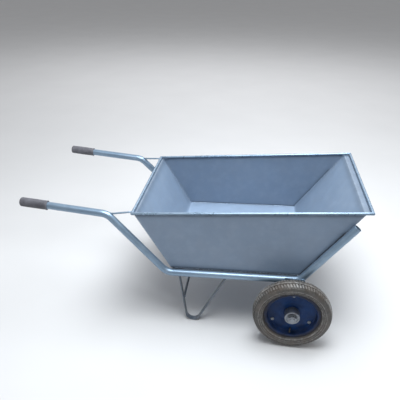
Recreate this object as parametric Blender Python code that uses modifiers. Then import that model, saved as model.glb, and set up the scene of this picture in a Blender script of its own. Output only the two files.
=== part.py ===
"""A two-wheeled steel wheelbarrow: a folded sheet tray on a bent tube frame.

Every piece hangs on one empty whose local frame has x measured forward from the axle, y to the
barrow's left and z up from the ground. The empty is moved last, so that the world origin lies on
the ground below the middle of the finished barrow.
"""

import math

import bmesh
import bpy
from mathutils import Matrix, Vector

# Tray: a folded pan between two flat sides, with a round rod along its rim
TRAY_WIDTH = 0.644  # over the outer faces of the sides
SHEET = 0.0015
FLOOR_LENGTH = 0.602  # along x, between the two folds
FLOOR_RISE = 0.023  # the floor climbs this much towards the front
FLOOR_HEIGHT = 0.299  # ground to the underside at the rear fold
FLOOR_AHEAD = 0.029  # front fold ahead of the axle
REAR_WALL_RUN = 0.167
REAR_WALL_HEIGHT = 0.280
FRONT_WALL_RUN = 0.234
FRONT_WALL_HEIGHT = 0.346
FOLD_RADIUS = 0.008
REAR_LIP = 0.0075  # the end walls turn outwards along the rim, up to its cross rods
FRONT_LIP = 0.023
LIP_FOLD_RADIUS = 0.004
RIM_ROD_RADIUS = 0.0065

# Frame: one bent tube on each side, tied by two cross tubes below the floor
TUBE_RADIUS = 0.01685
TUBE_WALL = 0.0020
RAIL_GAP = 0.0005  # tube beside the tray's side
RAIL_DROP = 0.013  # rail centreline below the floor
REAR_BEND_SETBACK = 0.018  # rear bend behind the rear fold
FRONT_BEND_SETBACK = 0.004  # front bend behind the front fold
REAR_BEND_RADIUS = 0.070
FRONT_BEND_RADIUS = 0.048
HANDLE_BEND_RADIUS = 0.070
RISER_ANGLE = math.radians(45.7)  # sloping part of the tube, from the rail to the handle
HANDLE_HEIGHT = 0.565  # height of the bend between the riser and the handle
HANDLE_LENGTH = 0.404
HANDLE_ANGLE = math.radians(4.3)  # the handle climbs towards its grip
HANDLE_SPACING = 0.636  # between the handles' centrelines
UPRIGHT_LENGTH = 0.3625
UPRIGHT_ANGLE = math.radians(55.2)
CROSS_TUBE_RADIUS = 0.01345
REAR_CROSS_TUBE_INSET = 0.075  # ahead of the rear fold, under the floor
MIDDLE_CROSS_TUBE_INSET = 0.082  # behind the front fold, under the floor
STAY_RADIUS = 0.004
STAY_INSET = 0.018  # its end at the rim, inboard of the corner

# Legs: a flat bar bent to a V below each rail
LEG_BAR_WIDTH = 0.025
LEG_BAR_THICKNESS = 0.005
LEG_INSET = 0.0134  # middle of the bar inboard of the rail's centreline
LEG_REAR_TOP = 0.040  # this and the next two are ahead of the tray's rear fold
LEG_FOOT = 0.107
LEG_FRONT_TOP = 0.262
LEG_FOOT_RADIUS = 0.034
LEG_TOP_RADIUS = 0.009
LEG_LAP = 0.024  # bar that lies against the rail at each end
BRACE_RADIUS = 0.006
BRACE_HEIGHT = 0.125

# Handle grips
GRIP_LENGTH = 0.131
GRIP_WALL = 0.0050
GRIP_END_WALL = 0.006
GRIP_END_CHAMFER = 0.005

# Axle and its brackets
AXLE_RADIUS = 0.0125
AXLE_CHAMFER = 0.0015
AXLE_TIP = 0.004  # thread that shows beyond the nut
PLATE_WIDTH = 0.090
PLATE_THICKNESS = 0.006
PLATE_FOOT_RADIUS = 0.030
PLATE_TOP_RISE = 0.004  # top edge above the top of the rail
SPACER_LENGTH = 0.0255
SPACER_WALL = 0.0045
WASHER_RADIUS = 0.022
WASHER_THICKNESS = 0.003
NUT_FLATS = 0.036
NUT_HEIGHT = 0.012

# Wheel, in its own frame: radius from the axle, offset from the tyre's middle plane
WHEEL_RADIUS = 0.178
TYRE_HALF_WIDTH = 0.035
TYRE_WALL = 0.006
TREAD_SHOULDER = 0.024
TREAD_DROP = 0.005  # the tread falls this much from its middle to its shoulder
UPPER_SIDEWALL = 0.95  # share of the half width midway between the tread and the widest point
LOWER_SIDEWALL = 0.80  # share of the half width just above the rim
HUB_RADIUS = 0.034
HUB_LENGTH = 0.068
BEARING_RADIUS = 0.026
BEARING_WIDTH = 0.015
BEARING_RECESS = 0.003
BEARING_SHOULDER = 0.003
RIM_SHEET = 0.002
BARREL_RADIUS = 0.112
FLANGE_HEIGHT = 0.015
RIM_HALF_WIDTH = 0.0205
DISC_INSET = 0.010  # joint of the two discs, inboard of the tyre's middle plane
DISC_FILLET = 0.006
FLANGE_FILLET = 0.003
BEAD_WIDTH = 0.009
BEAD_HEEL = 0.002
INNER_TUBE_WALL = 0.0025
INNER_TUBE_SLACK = 0.0015
RIM_BOLT_COUNT = 3
RIM_BOLT_FIRST_ANGLE = math.radians(90)
RIM_BOLT_INSET = 0.015  # from the barrel
RIM_BOLT_RADIUS = 0.004
RIM_BOLT_FLATS = 0.013
RIM_BOLT_HEAD = 0.0053
RIM_NUT_HEIGHT = 0.0065
RIM_BOLT_TIP = 0.003
VALVE_ANGLE = math.radians(-90)
VALVE_OFFSET = 0.004  # outboard of the tyre's middle plane
VALVE_RADIUS = 0.004
VALVE_CAP_RADIUS = 0.005
VALVE_CAP_LENGTH = 0.009
VALVE_REACH = 0.026  # stem that stands inside the rim's barrel

# Fits
FIT_GAP = 0.0003  # between pieces that touch
SPIN_GAP = 0.0005  # between turning and fixed faces
HOLE_CLEARANCE = 0.0005

# Smoothness
ARC_STEPS = 3
TUBE_BEVEL = 4
ROD_BEVEL = 2
WHEEL_STEPS = 24
INNER_TUBE_SIDES = 8
SMALL_STEPS = 16
BOLT_STEPS = 10
SMOOTH_ANGLE = math.radians(35)

# Places that follow from the sizes above
FLOOR_FRONT = Vector((FLOOR_AHEAD, FLOOR_HEIGHT + FLOOR_RISE))
FLOOR_REAR = Vector((FLOOR_AHEAD - FLOOR_LENGTH, FLOOR_HEIGHT))
WALL_TOP_REAR = FLOOR_REAR + Vector((-REAR_WALL_RUN, REAR_WALL_HEIGHT))
WALL_TOP_FRONT = FLOOR_FRONT + Vector((FRONT_WALL_RUN, FRONT_WALL_HEIGHT))
ALONG_RIM = (WALL_TOP_FRONT - WALL_TOP_REAR).normalized()
RIM_REAR = WALL_TOP_REAR - REAR_LIP * ALONG_RIM
RIM_FRONT = WALL_TOP_FRONT + FRONT_LIP * ALONG_RIM
RAIL_HALF = TRAY_WIDTH / 2 + RAIL_GAP + TUBE_RADIUS
HANDLE_HALF = HANDLE_SPACING / 2
LEG_HALF = RAIL_HALF - LEG_INSET
RIM_ROD_PLANE = TRAY_WIDTH / 2 - SHEET / 2
PLATE_PLANE = RAIL_HALF + TUBE_RADIUS + FIT_GAP + PLATE_THICKNESS / 2
SPACER_START = PLATE_PLANE + PLATE_THICKNESS / 2 + FIT_GAP
HUB_INNER_END = SPACER_START + SPACER_LENGTH + SPIN_GAP - BEARING_RECESS
WHEEL_PLANE = HUB_INNER_END + HUB_LENGTH / 2
AXLE_HEIGHT = WHEEL_RADIUS
FLANGE_RADIUS = BARREL_RADIUS + FLANGE_HEIGHT
RIM_BOLT_CIRCLE = BARREL_RADIUS - RIM_BOLT_INSET
WASHER_START = HUB_LENGTH / 2 - BEARING_RECESS + SPIN_GAP
NUT_START = WASHER_START + WASHER_THICKNESS + FIT_GAP
DISC_FACE = -DISC_INSET
BEAD_RADIUS = BARREL_RADIUS + RIM_SHEET + FIT_GAP
SIDES = {"right": -1, "left": 1}

PAINT = {}


def make_materials():
    """The finishes: base colour, roughness and metallic value of each."""
    finishes = {
        "tray_paint": ((0.16, 0.24, 0.34), 0.45, 0.3),
        "frame_paint": ((0.20, 0.28, 0.38), 0.40, 0.4),
        "rim_paint": ((0.24, 0.33, 0.40), 0.35, 0.4),
        "wheel_paint": ((0.01, 0.03, 0.10), 0.30, 0.2),
        "tyre_rubber": ((0.10, 0.085, 0.075), 0.90, 0.0),
        "grip_rubber": ((0.12, 0.11, 0.12), 0.80, 0.0),
        "bare_steel": ((0.42, 0.43, 0.44), 0.45, 1.0),
        "butyl_rubber": ((0.02, 0.02, 0.02), 0.70, 0.0),
    }
    for name, (colour, roughness, metallic) in finishes.items():
        material = bpy.data.materials.new(name)
        material.use_nodes = True
        shader = material.node_tree.nodes["Principled BSDF"]
        shader.inputs["Base Color"].default_value = (*colour, 1)
        shader.inputs["Roughness"].default_value = roughness
        shader.inputs["Metallic"].default_value = metallic
        PAINT[name] = material


def clear_scene():
    for obj in list(bpy.data.objects):
        bpy.data.objects.remove(obj, do_unlink=True)


def new_collection(name):
    collection = bpy.data.collections.new(name)
    bpy.context.scene.collection.children.link(collection)
    return collection


def add_piece(name, data, material, parent, location=(0, 0, 0), rotation=(0, 0, 0)):
    """An object of the barrow, placed in its parent's frame."""
    piece = bpy.data.objects.new(name, data)
    data.materials.append(PAINT[material])
    barrow.objects.link(piece)
    piece.parent = parent
    piece.location = location
    piece.rotation_euler = rotation
    return piece


def add_empty(name, parent, location=(0, 0, 0), rotation=(0, 0, 0)):
    empty = bpy.data.objects.new(name, None)
    barrow.objects.link(empty)
    empty.parent = parent
    empty.location = location
    empty.rotation_euler = rotation
    return empty


# ---- Paths in the side view, as 2-D points (x, z) ----


def rounded_path(corners, radii, steps=ARC_STEPS):
    """The open path through the corners, with an arc of the given radius at each inner one."""
    path = [corners[0]]
    for before, corner, after, radius in zip(corners, corners[1:], corners[2:], radii):
        back = (before - corner).normalized()
        ahead = (after - corner).normalized()
        half_angle = back.angle(ahead) / 2
        centre = corner + (back + ahead).normalized() * (radius / math.sin(half_angle))
        spoke = corner + back * (radius / math.tan(half_angle)) - centre
        turn = math.pi - 2 * half_angle
        for step in range(steps + 1):
            angle = turn * step / steps
            path.append(centre + math.cos(angle) * spoke - math.sin(angle) * radius * back)
    path.append(corners[-1])
    return path


def direction(angle):
    return Vector((math.cos(angle), math.sin(angle)))


def arc(centre, radius, start, end, steps=ARC_STEPS):
    """Points on an arc between two angles, both ends included."""
    angles = (start + (end - start) * step / steps for step in range(steps + 1))
    return [centre + radius * direction(angle) for angle in angles]


def shifted_line(start, end, distance):
    """The line from start to end moved to its right-hand side, as a point and a unit vector."""
    along = (end - start).normalized()
    return start + distance * Vector((along.y, -along.x)), along


def crossing(first, second):
    """Where two lines, each a point and a vector, meet."""
    (start, along), (other, other_along) = first, second
    return start + along * (other - start).cross(other_along) / along.cross(other_along)


def point_at_x(line, x):
    start, along = line
    return start + along * (x - start.x) / along.x


def tangent_point(point, centre, radius, turn):
    """Where the line from the point touches the circle; turn is +1 or -1 for the side."""
    to_point = point - centre
    angle = math.atan2(to_point.y, to_point.x) + turn * math.acos(radius / to_point.length)
    return centre + radius * direction(angle)


# ---- Shapes ----


def poly_curve(name, points, cyclic=False, dimensions="3D"):
    curve = bpy.data.curves.new(name, "CURVE")
    curve.dimensions = dimensions
    add_spline(curve, points, cyclic)
    return curve


def add_spline(curve, points, cyclic):
    spline = curve.splines.new("POLY")
    spline.points.add(len(points) - 1)
    for target, point in zip(spline.points, points):
        target.co = (*point, 1)
    spline.use_cyclic_u = cyclic


def round_bar(name, points, radius, material, parent, location=(0, 0, 0), bevel=ROD_BEVEL):
    """A solid round bar along 3-D points."""
    curve = poly_curve(name, points)
    curve.bevel_depth = radius
    curve.bevel_resolution = bevel
    curve.use_fill_caps = True
    return add_piece(name, curve, material, parent, location)


def pipe(name, points, radius, material, parent, location=(0, 0, 0)):
    """An open-ended pipe along 3-D points."""
    curve = poly_curve(name, points)
    curve.bevel_depth = radius
    curve.bevel_resolution = TUBE_BEVEL
    piece = add_piece(name, curve, material, parent, location)
    wall = piece.modifiers.new("wall", "SOLIDIFY")
    wall.thickness = TUBE_WALL
    wall.offset = -1
    return piece


def strip(name, path, width, thickness, offset, material, parent, y=0):
    """A sheet bent along a side-view path and running across the barrow."""
    curve = poly_curve(name, [(x, z, 0) for x, z in path], dimensions="2D")
    curve.fill_mode = "NONE"
    curve.extrude = width / 2
    piece = add_piece(name, curve, material, parent, (0, y, 0), (math.pi / 2, 0, 0))
    sheet = piece.modifiers.new("sheet", "SOLIDIFY")
    sheet.thickness = thickness
    sheet.offset = offset
    return piece


def upright_plate(name, outlines, thickness, material, parent, y):
    """A flat plate in the side view; outlines after the first are holes."""
    curve = bpy.data.curves.new(name, "CURVE")
    curve.dimensions = "2D"
    curve.fill_mode = "BOTH"
    curve.extrude = thickness / 2
    for outline in outlines:
        add_spline(curve, [(x, z, 0) for x, z in outline], True)
    return add_piece(name, curve, material, parent, (0, y, 0), (math.pi / 2, 0, 0))


def turned(name, profile, closed, material, parent, steps=WHEEL_STEPS, location=(0, 0, 0)):
    """A piece turned about its parent's z axis, from a profile of (radius, height)."""
    mesh = bpy.data.meshes.new(name)
    shape = bmesh.new()
    points = [shape.verts.new((radius, 0, height)) for radius, height in profile]
    for start, end in zip(points, points[1:]):
        shape.edges.new((start, end))
    if closed:
        shape.edges.new((points[-1], points[0]))
    shape.to_mesh(mesh)
    shape.free()
    piece = add_piece(name, mesh, material, parent, location)
    screw = piece.modifiers.new("turn", "SCREW")
    screw.steps = steps
    screw.render_steps = steps
    screw.use_merge_vertices = True
    screw.merge_threshold = 0.00001
    return piece


def ring_profile(inner, outer, low, high):
    """A rectangular section, from its outer top corner down and round."""
    return [(outer, high), (outer, low), (inner, low), (inner, high)]


def cylinder_mesh(name, radius, depth, sides, turn=0):
    """A closed cylinder or prism about z, standing on its origin."""
    mesh = bpy.data.meshes.new(name)
    shape = bmesh.new()
    bmesh.ops.create_cone(
        shape,
        cap_ends=True,
        segments=sides,
        radius1=radius,
        radius2=radius,
        depth=depth,
        matrix=Matrix.Translation((0, 0, depth / 2)) @ Matrix.Rotation(turn, 4, "Z"),
    )
    shape.to_mesh(mesh)
    shape.free()
    return mesh


def hexagon_radius(flats):
    return flats / math.sqrt(3)


def bore_around(radius, steps):
    """Corner radius of a faceted bore whose flats clear a round of this radius."""
    return (radius + FIT_GAP) / math.cos(math.pi / steps)


def setback(radius, other_radius, angle):
    """How far a bar's square end stops before the centreline of another that it meets."""
    return (other_radius + FIT_GAP + radius * abs(math.cos(angle))) / math.sin(angle)


def add_cutter(name, mesh, parent, location, rotation=(0, 0, 0)):
    cutter = bpy.data.objects.new(name, mesh)
    cutters.objects.link(cutter)
    cutter.parent = parent
    cutter.location = location
    cutter.rotation_euler = rotation
    cutter.hide_render = True
    cutter.display_type = "WIRE"
    return cutter


def combine(piece, other, operation="DIFFERENCE"):
    boolean = piece.modifiers.new(operation.lower(), "BOOLEAN")
    boolean.operation = operation
    boolean.solver = "EXACT"
    boolean.object = other


def absorb(piece, mesh, location):
    """Joins a helper shape to the piece by a Boolean union."""
    combine(piece, add_cutter(mesh.name, mesh, piece.parent, location), "UNION")


def shade_round(piece):
    if piece.type == "MESH":
        piece.data.shade_smooth()
        piece.data.set_sharp_from_angle(angle=SMOOTH_ANGLE)


# ---- Tray ----


def rim_line(depth=0):
    """Lower side of the rim rods, where the side sheets end, or a line below it."""
    return shifted_line(RIM_REAR, RIM_FRONT, RIM_ROD_RADIUS + FIT_GAP + depth)


def wall_tops(line):
    """Where the rear and the front wall reach a line along the rim."""
    rear_wall = (FLOOR_REAR, WALL_TOP_REAR - FLOOR_REAR)
    front_wall = (FLOOR_FRONT, WALL_TOP_FRONT - FLOOR_FRONT)
    return crossing(line, rear_wall), crossing(line, front_wall)


def build_tray(parent):
    """Two side sheets, and a pan whose lips run out below the rim's cross rods."""
    rear_top, front_top = wall_tops(rim_line())
    corners = [rear_top, FLOOR_REAR, FLOOR_FRONT, front_top]
    outline = rounded_path(corners, [FOLD_RADIUS] * 2)
    for side, sign in SIDES.items():
        y = sign * (TRAY_WIDTH - SHEET) / 2
        upright_plate(f"tray_side_{side}", [outline], SHEET, "tray_paint", parent, y)
    lips = rim_line(SHEET)
    rear_fold, front_fold = wall_tops(lips)
    corners = [point_at_x(lips, RIM_REAR.x), rear_fold, FLOOR_REAR]
    corners += [FLOOR_FRONT, front_fold, point_at_x(lips, RIM_FRONT.x)]
    radii = [LIP_FOLD_RADIUS, FOLD_RADIUS, FOLD_RADIUS, LIP_FOLD_RADIUS]
    width = TRAY_WIDTH - 2 * (SHEET + FIT_GAP)
    path = rounded_path(corners, radii)
    strip("tray_pan", path, width, SHEET, 1, "tray_paint", parent)


def build_rim(parent):
    start = RIM_REAR - ALONG_RIM * RIM_ROD_RADIUS
    end = RIM_FRONT + ALONG_RIM * RIM_ROD_RADIUS
    for side, sign in SIDES.items():
        line = [(start.x, 0, start.y), (end.x, 0, end.y)]
        place = (0, sign * RIM_ROD_PLANE, 0)
        round_bar(f"rim_rod_{side}", line, RIM_ROD_RADIUS, "rim_paint", parent, place)
    reach = RIM_ROD_PLANE - RIM_ROD_RADIUS - FIT_GAP
    for name, corner in (("rim_rod_rear", RIM_REAR), ("rim_rod_front", RIM_FRONT)):
        line = [(0, -reach, 0), (0, reach, 0)]
        place = (corner.x, 0, corner.y)
        round_bar(name, line, RIM_ROD_RADIUS, "rim_paint", parent, place)


# ---- Frame ----


def rail_line():
    return shifted_line(FLOOR_REAR, FLOOR_FRONT, RAIL_DROP)


def rear_bend():
    return point_at_x(rail_line(), FLOOR_REAR.x - REAR_BEND_SETBACK)


def front_bend():
    return point_at_x(rail_line(), FLOOR_FRONT.x - FRONT_BEND_SETBACK)


def handle_bend():
    rise = HANDLE_HEIGHT - rear_bend().y
    return rear_bend() + Vector((-rise / math.tan(RISER_ANGLE), rise))


def handle_end():
    return handle_bend() + HANDLE_LENGTH * direction(math.pi - HANDLE_ANGLE)


def build_side_tubes(parent):
    """Handle, riser, rail and upright, bent from one tube; the handles stand closer together."""
    radii = [HANDLE_BEND_RADIUS, REAR_BEND_RADIUS, FRONT_BEND_RADIUS]
    upright_end = front_bend() + UPRIGHT_LENGTH * direction(UPRIGHT_ANGLE)
    for side, sign in SIDES.items():
        inward = sign * (HANDLE_HALF - RAIL_HALF)
        corners = [
            Vector((handle_end().x, inward, handle_end().y)),
            Vector((handle_bend().x, inward, handle_bend().y)),
            Vector((rear_bend().x, 0, rear_bend().y)),
            Vector((front_bend().x, 0, front_bend().y)),
            Vector((upright_end.x, 0, upright_end.y)),
        ]
        place = (0, sign * RAIL_HALF, 0)
        points = rounded_path(corners, radii)
        pipe(f"side_tube_{side}", points, TUBE_RADIUS, "frame_paint", parent, place)


def build_cross_tubes(parent):
    """Two tubes between the rails, just under the floor of the tray."""
    reach = RAIL_HALF - TUBE_RADIUS - FIT_GAP
    line = [(0, -reach, 0), (0, reach, 0)]
    under_floor = shifted_line(FLOOR_REAR, FLOOR_FRONT, CROSS_TUBE_RADIUS + FIT_GAP)
    stations = {
        "rear_cross_tube": FLOOR_REAR.x + REAR_CROSS_TUBE_INSET,
        "middle_cross_tube": FLOOR_FRONT.x - MIDDLE_CROSS_TUBE_INSET,
    }
    for name, x in stations.items():
        centre = point_at_x(under_floor, x)
        place = (centre.x, 0, centre.y)
        pipe(name, line, CROSS_TUBE_RADIUS, "frame_paint", parent, place)


def build_corner_stays(parent):
    """A short rod from each handle bend to the rim's rear rod, near the tray's corner."""
    for side, sign in SIDES.items():
        bend = Vector((handle_bend().x, sign * HANDLE_HALF, handle_bend().y))
        corner = Vector((RIM_REAR.x, sign * (RIM_ROD_PLANE - STAY_INSET), RIM_REAR.y))
        down = Vector((rear_bend().x, sign * RAIL_HALF, rear_bend().y)) - bend
        along = (corner - bend).normalized()
        across = Vector((0, 1, 0))
        start = bend + along * setback(STAY_RADIUS, TUBE_RADIUS, along.angle(down))
        end = corner - along * setback(STAY_RADIUS, RIM_ROD_RADIUS, along.angle(across))
        line = [(0, 0, 0), end - start]
        round_bar(f"corner_stay_{side}", line, STAY_RADIUS, "frame_paint", parent, start)


# ---- Legs ----


def leg_top_line():
    """Middle of the bar where it lies against the rail."""
    start, along = rail_line()
    down = Vector((along.y, -along.x))
    return start + down * (TUBE_RADIUS + FIT_GAP + LEG_BAR_THICKNESS / 2), along


def leg_centre():
    return Vector((FLOOR_REAR.x + LEG_FOOT, LEG_FOOT_RADIUS + LEG_BAR_THICKNESS / 2))


def rear_strut():
    top = point_at_x(leg_top_line(), FLOOR_REAR.x + LEG_REAR_TOP)
    return top, tangent_point(top, leg_centre(), LEG_FOOT_RADIUS, 1)


def front_strut():
    top = point_at_x(leg_top_line(), FLOOR_REAR.x + LEG_FRONT_TOP)
    return top, tangent_point(top, leg_centre(), LEG_FOOT_RADIUS, -1)


def build_legs(parent):
    (rear_top, rear_low), (front_top, front_low) = rear_strut(), front_strut()
    lap = leg_top_line()[1] * LEG_LAP
    upper_rear = rounded_path([rear_top - lap, rear_top, rear_low], [LEG_TOP_RADIUS])
    upper_front = rounded_path([front_low, front_top, front_top + lap], [LEG_TOP_RADIUS])
    centre = leg_centre()
    down = Vector((0, -1))
    lowest = -math.pi / 2
    start = lowest - down.angle(rear_low - centre)
    end = lowest + down.angle(front_low - centre)
    foot = arc(centre, LEG_FOOT_RADIUS, start, lowest)[:-1]
    foot += arc(centre, LEG_FOOT_RADIUS, lowest, end)
    path = upper_rear[:-1] + foot + upper_front[1:]
    for side, sign in SIDES.items():
        y = sign * LEG_HALF
        name = f"leg_{side}"
        strip(name, path, LEG_BAR_WIDTH, LEG_BAR_THICKNESS, 0, "frame_paint", parent, y)


def build_leg_brace(parent):
    top, low = rear_strut()
    centre = low + (top - low) * (BRACE_HEIGHT - low.y) / (top.y - low.y)
    reach = LEG_HALF - LEG_BAR_WIDTH / 2 - FIT_GAP
    line = [(0, -reach, 0), (0, reach, 0)]
    place = (centre.x, 0, centre.y)
    round_bar("leg_brace", line, BRACE_RADIUS, "frame_paint", parent, place)


# ---- Grips ----


def build_grips(parent):
    """A closed rubber sleeve over the end of each handle."""
    bore = bore_around(TUBE_RADIUS, SMALL_STEPS)
    radius = bore + GRIP_WALL
    depth = GRIP_LENGTH - GRIP_END_WALL
    profile = [
        (0, GRIP_LENGTH),
        (radius - GRIP_END_CHAMFER, GRIP_LENGTH),
        (radius, GRIP_LENGTH - GRIP_END_CHAMFER),
        (radius, 0),
        (bore, 0),
        (bore, depth),
        (0, depth),
    ]
    mouth = handle_end() - direction(math.pi - HANDLE_ANGLE) * (depth - FIT_GAP)
    for side, sign in SIDES.items():
        place = (mouth.x, sign * HANDLE_HALF, mouth.y)
        turn = (0, HANDLE_ANGLE - math.pi / 2, 0)
        holder = add_empty(f"grip_axis_{side}", parent, place, turn)
        name = f"grip_{side}"
        grip = turned(name, profile, False, "grip_rubber", holder, SMALL_STEPS)
        shade_round(grip)


# ---- Axle ----


def build_axle_plates(parent):
    """A plate outside each rail that carries the axle below it."""
    rail = point_at_x(rail_line(), 0)
    top = rail.y + TUBE_RADIUS + PLATE_TOP_RISE
    half = PLATE_WIDTH / 2
    centre = Vector((0, AXLE_HEIGHT))
    shoulder = rail.y - TUBE_RADIUS
    right_low = tangent_point(Vector((half, shoulder)), centre, PLATE_FOOT_RADIUS, -1)
    angle = math.atan2(*(right_low - centre).yx)
    foot = arc(centre, PLATE_FOOT_RADIUS, -math.pi - angle, angle, 2 * ARC_STEPS)
    outline = [Vector((-half, top)), Vector((-half, shoulder))]
    outline += foot + [Vector((half, shoulder)), Vector((half, top))]
    hole = arc(centre, AXLE_RADIUS + HOLE_CLEARANCE, 0, 2 * math.pi, SMALL_STEPS)[:-1]
    for side, sign in SIDES.items():
        name = f"axle_plate_{side}"
        y = sign * PLATE_PLANE
        upright_plate(name, [outline, hole], PLATE_THICKNESS, "frame_paint", parent, y)


def build_axle(parent):
    reach = WHEEL_PLANE + NUT_START + NUT_HEIGHT + AXLE_TIP
    profile = [
        (0, reach),
        (AXLE_RADIUS - AXLE_CHAMFER, reach),
        (AXLE_RADIUS, reach - AXLE_CHAMFER),
        (AXLE_RADIUS, AXLE_CHAMFER - reach),
        (AXLE_RADIUS - AXLE_CHAMFER, -reach),
        (0, -reach),
    ]
    holder = add_empty("axle_line", parent, (0, 0, AXLE_HEIGHT), (math.pi / 2, 0, 0))
    axle = turned("axle", profile, False, "bare_steel", holder, SMALL_STEPS)
    shade_round(axle)


def build_axle_hardware(side, seat):
    """Spacer, washer and nut on one end; the seat's z axis points outboard."""
    bore = bore_around(AXLE_RADIUS, SMALL_STEPS)
    inner = SPACER_START - WHEEL_PLANE
    spacer = ring_profile(bore, bore + SPACER_WALL, inner, inner + SPACER_LENGTH)
    turned(f"axle_spacer_{side}", spacer, True, "bare_steel", seat, SMALL_STEPS)
    washer = ring_profile(bore, WASHER_RADIUS, WASHER_START, WASHER_START + WASHER_THICKNESS)
    turned(f"axle_washer_{side}", washer, True, "bare_steel", seat, SMALL_STEPS)
    nut = cylinder_mesh(f"axle_nut_{side}", hexagon_radius(NUT_FLATS), NUT_HEIGHT, 6)
    piece = add_piece(f"axle_nut_{side}", nut, "bare_steel", seat, (0, 0, NUT_START))
    hole = cylinder_mesh("axle_nut_bore", bore, NUT_HEIGHT * 2, SMALL_STEPS)
    place = (0, 0, NUT_START - NUT_HEIGHT / 2)
    combine(piece, add_cutter(f"axle_nut_bore_{side}", hole, seat, place))


# ---- Wheels ----


def rim_profile(disc, flange):
    """Middle line of one rim half's sheet: disc, barrel and flange."""
    middle = BARREL_RADIUS + RIM_SHEET / 2
    corners = [
        Vector((HUB_RADIUS + FIT_GAP, disc)),
        Vector((middle, disc)),
        Vector((middle, flange)),
        Vector((FLANGE_RADIUS, flange)),
    ]
    reach = abs(flange - disc)
    fillet = min(DISC_FILLET, reach - FLANGE_FILLET - RIM_SHEET)
    return rounded_path(corners, [fillet, FLANGE_FILLET], 2)


def build_rim_half(name, disc, flange, wheel):
    piece = turned(name, rim_profile(disc, flange), False, "wheel_paint", wheel)
    sheet = piece.modifiers.new("sheet", "SOLIDIFY")
    sheet.thickness = RIM_SHEET
    sheet.offset = 0
    sheet.use_even_offset = True
    return piece


def build_rims(side, wheel):
    """Two pressed halves, bolted together at their discs."""
    outer_disc = DISC_FACE + RIM_SHEET / 2
    inner_disc = DISC_FACE - FIT_GAP - RIM_SHEET / 2
    flange = RIM_HALF_WIDTH - RIM_SHEET / 2
    outer = build_rim_half(f"rim_outer_{side}", outer_disc, flange, wheel)
    inner = build_rim_half(f"rim_inner_{side}", inner_disc, -flange, wheel)
    reach = 4 * RIM_SHEET
    hole_radius = RIM_BOLT_RADIUS + HOLE_CLEARANCE
    hole = cylinder_mesh("rim_bolt_hole", hole_radius, reach, BOLT_STEPS)
    for number, place in enumerate(rim_bolt_places(side), 1):
        spot = (place.x, place.y, DISC_FACE - reach / 2)
        cutter = add_cutter(f"rim_bolt_hole_{side}_{number}", hole, wheel, spot)
        combine(outer, cutter)
        combine(inner, cutter)
    hole = cylinder_mesh("valve_hole", VALVE_RADIUS + HOLE_CLEARANCE, reach, BOLT_STEPS)
    spot = valve_place(side, BARREL_RADIUS - RIM_SHEET)
    cutter = add_cutter(f"valve_hole_{side}", hole, wheel, spot, valve_turn(side))
    combine(outer, cutter)


def mirrored_angle(angle, side):
    """The same place in the side view on both wheels, whose frames face opposite ways."""
    return -SIDES[side] * angle


def rim_bolt_places(side):
    pitch = 2 * math.pi / RIM_BOLT_COUNT
    angles = (RIM_BOLT_FIRST_ANGLE + pitch * number for number in range(RIM_BOLT_COUNT))
    return [RIM_BOLT_CIRCLE * direction(mirrored_angle(angle, side)) for angle in angles]


def build_rim_bolts(side, wheel):
    head = hexagon_radius(RIM_BOLT_FLATS)
    seat = DISC_FACE + RIM_SHEET + FIT_GAP
    nut_top = DISC_FACE - FIT_GAP - RIM_SHEET - FIT_GAP
    shank = seat - nut_top + RIM_NUT_HEIGHT + RIM_BOLT_TIP
    bore = cylinder_mesh("rim_nut_bore", RIM_BOLT_RADIUS + FIT_GAP, RIM_NUT_HEIGHT * 2, BOLT_STEPS)
    for number, place in enumerate(rim_bolt_places(side), 1):
        name = f"rim_bolt_{side}_{number}"
        spot = (place.x, place.y, seat)
        mesh = cylinder_mesh(name, head, RIM_BOLT_HEAD, 6)
        bolt = add_piece(name, mesh, "bare_steel", wheel, spot)
        length = shank + RIM_BOLT_HEAD / 2
        stem = cylinder_mesh(f"{name}_shank", RIM_BOLT_RADIUS, length, BOLT_STEPS)
        spot = (place.x, place.y, seat - shank)
        absorb(bolt, stem, spot)
        name = f"rim_nut_{side}_{number}"
        spot = (place.x, place.y, nut_top - RIM_NUT_HEIGHT)
        mesh = cylinder_mesh(name, head, RIM_NUT_HEIGHT, 6)
        nut = add_piece(name, mesh, "bare_steel", wheel, spot)
        spot = (place.x, place.y, nut_top - RIM_NUT_HEIGHT * 3 / 2)
        combine(nut, add_cutter(f"{name}_bore", bore, wheel, spot))


def tyre_crown(depth):
    """Half section from the middle of the tread to the sidewall, at a depth below the surface."""
    bulge = (FLANGE_RADIUS + WHEEL_RADIUS) / 2
    crown = WHEEL_RADIUS - depth
    width = TYRE_HALF_WIDTH - depth
    return [
        (crown, 0),
        (crown - TREAD_DROP, TREAD_SHOULDER - depth / 2),
        ((crown + bulge) / 2, width * UPPER_SIDEWALL),
        (bulge, width),
    ]


def build_tyre(side, wheel):
    """An open carcass whose two beads sit on the rim's barrel."""
    inside_flange = RIM_HALF_WIDTH - RIM_SHEET - FIT_GAP
    above_flange = FLANGE_RADIUS + 2 * FIT_GAP
    toe = inside_flange - BEAD_WIDTH
    outer = tyre_crown(0) + [
        (above_flange + TYRE_WALL / 2, TYRE_HALF_WIDTH * LOWER_SIDEWALL),
        (above_flange, inside_flange),
        (BEAD_RADIUS + BEAD_HEEL, inside_flange),
        (BEAD_RADIUS, inside_flange - BEAD_HEEL),
        (BEAD_RADIUS, toe),
    ]
    lining = tyre_crown(TYRE_WALL) + [(above_flange + TYRE_WALL / 3, toe + TYRE_WALL / 3)]
    profile = outer[:0:-1] + [(r, -a) for r, a in outer]
    profile += [(r, -a) for r, a in reversed(lining)] + lining[1:]
    tyre = turned(f"tyre_{side}", profile, True, "tyre_rubber", wheel)
    shade_round(tyre)


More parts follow.
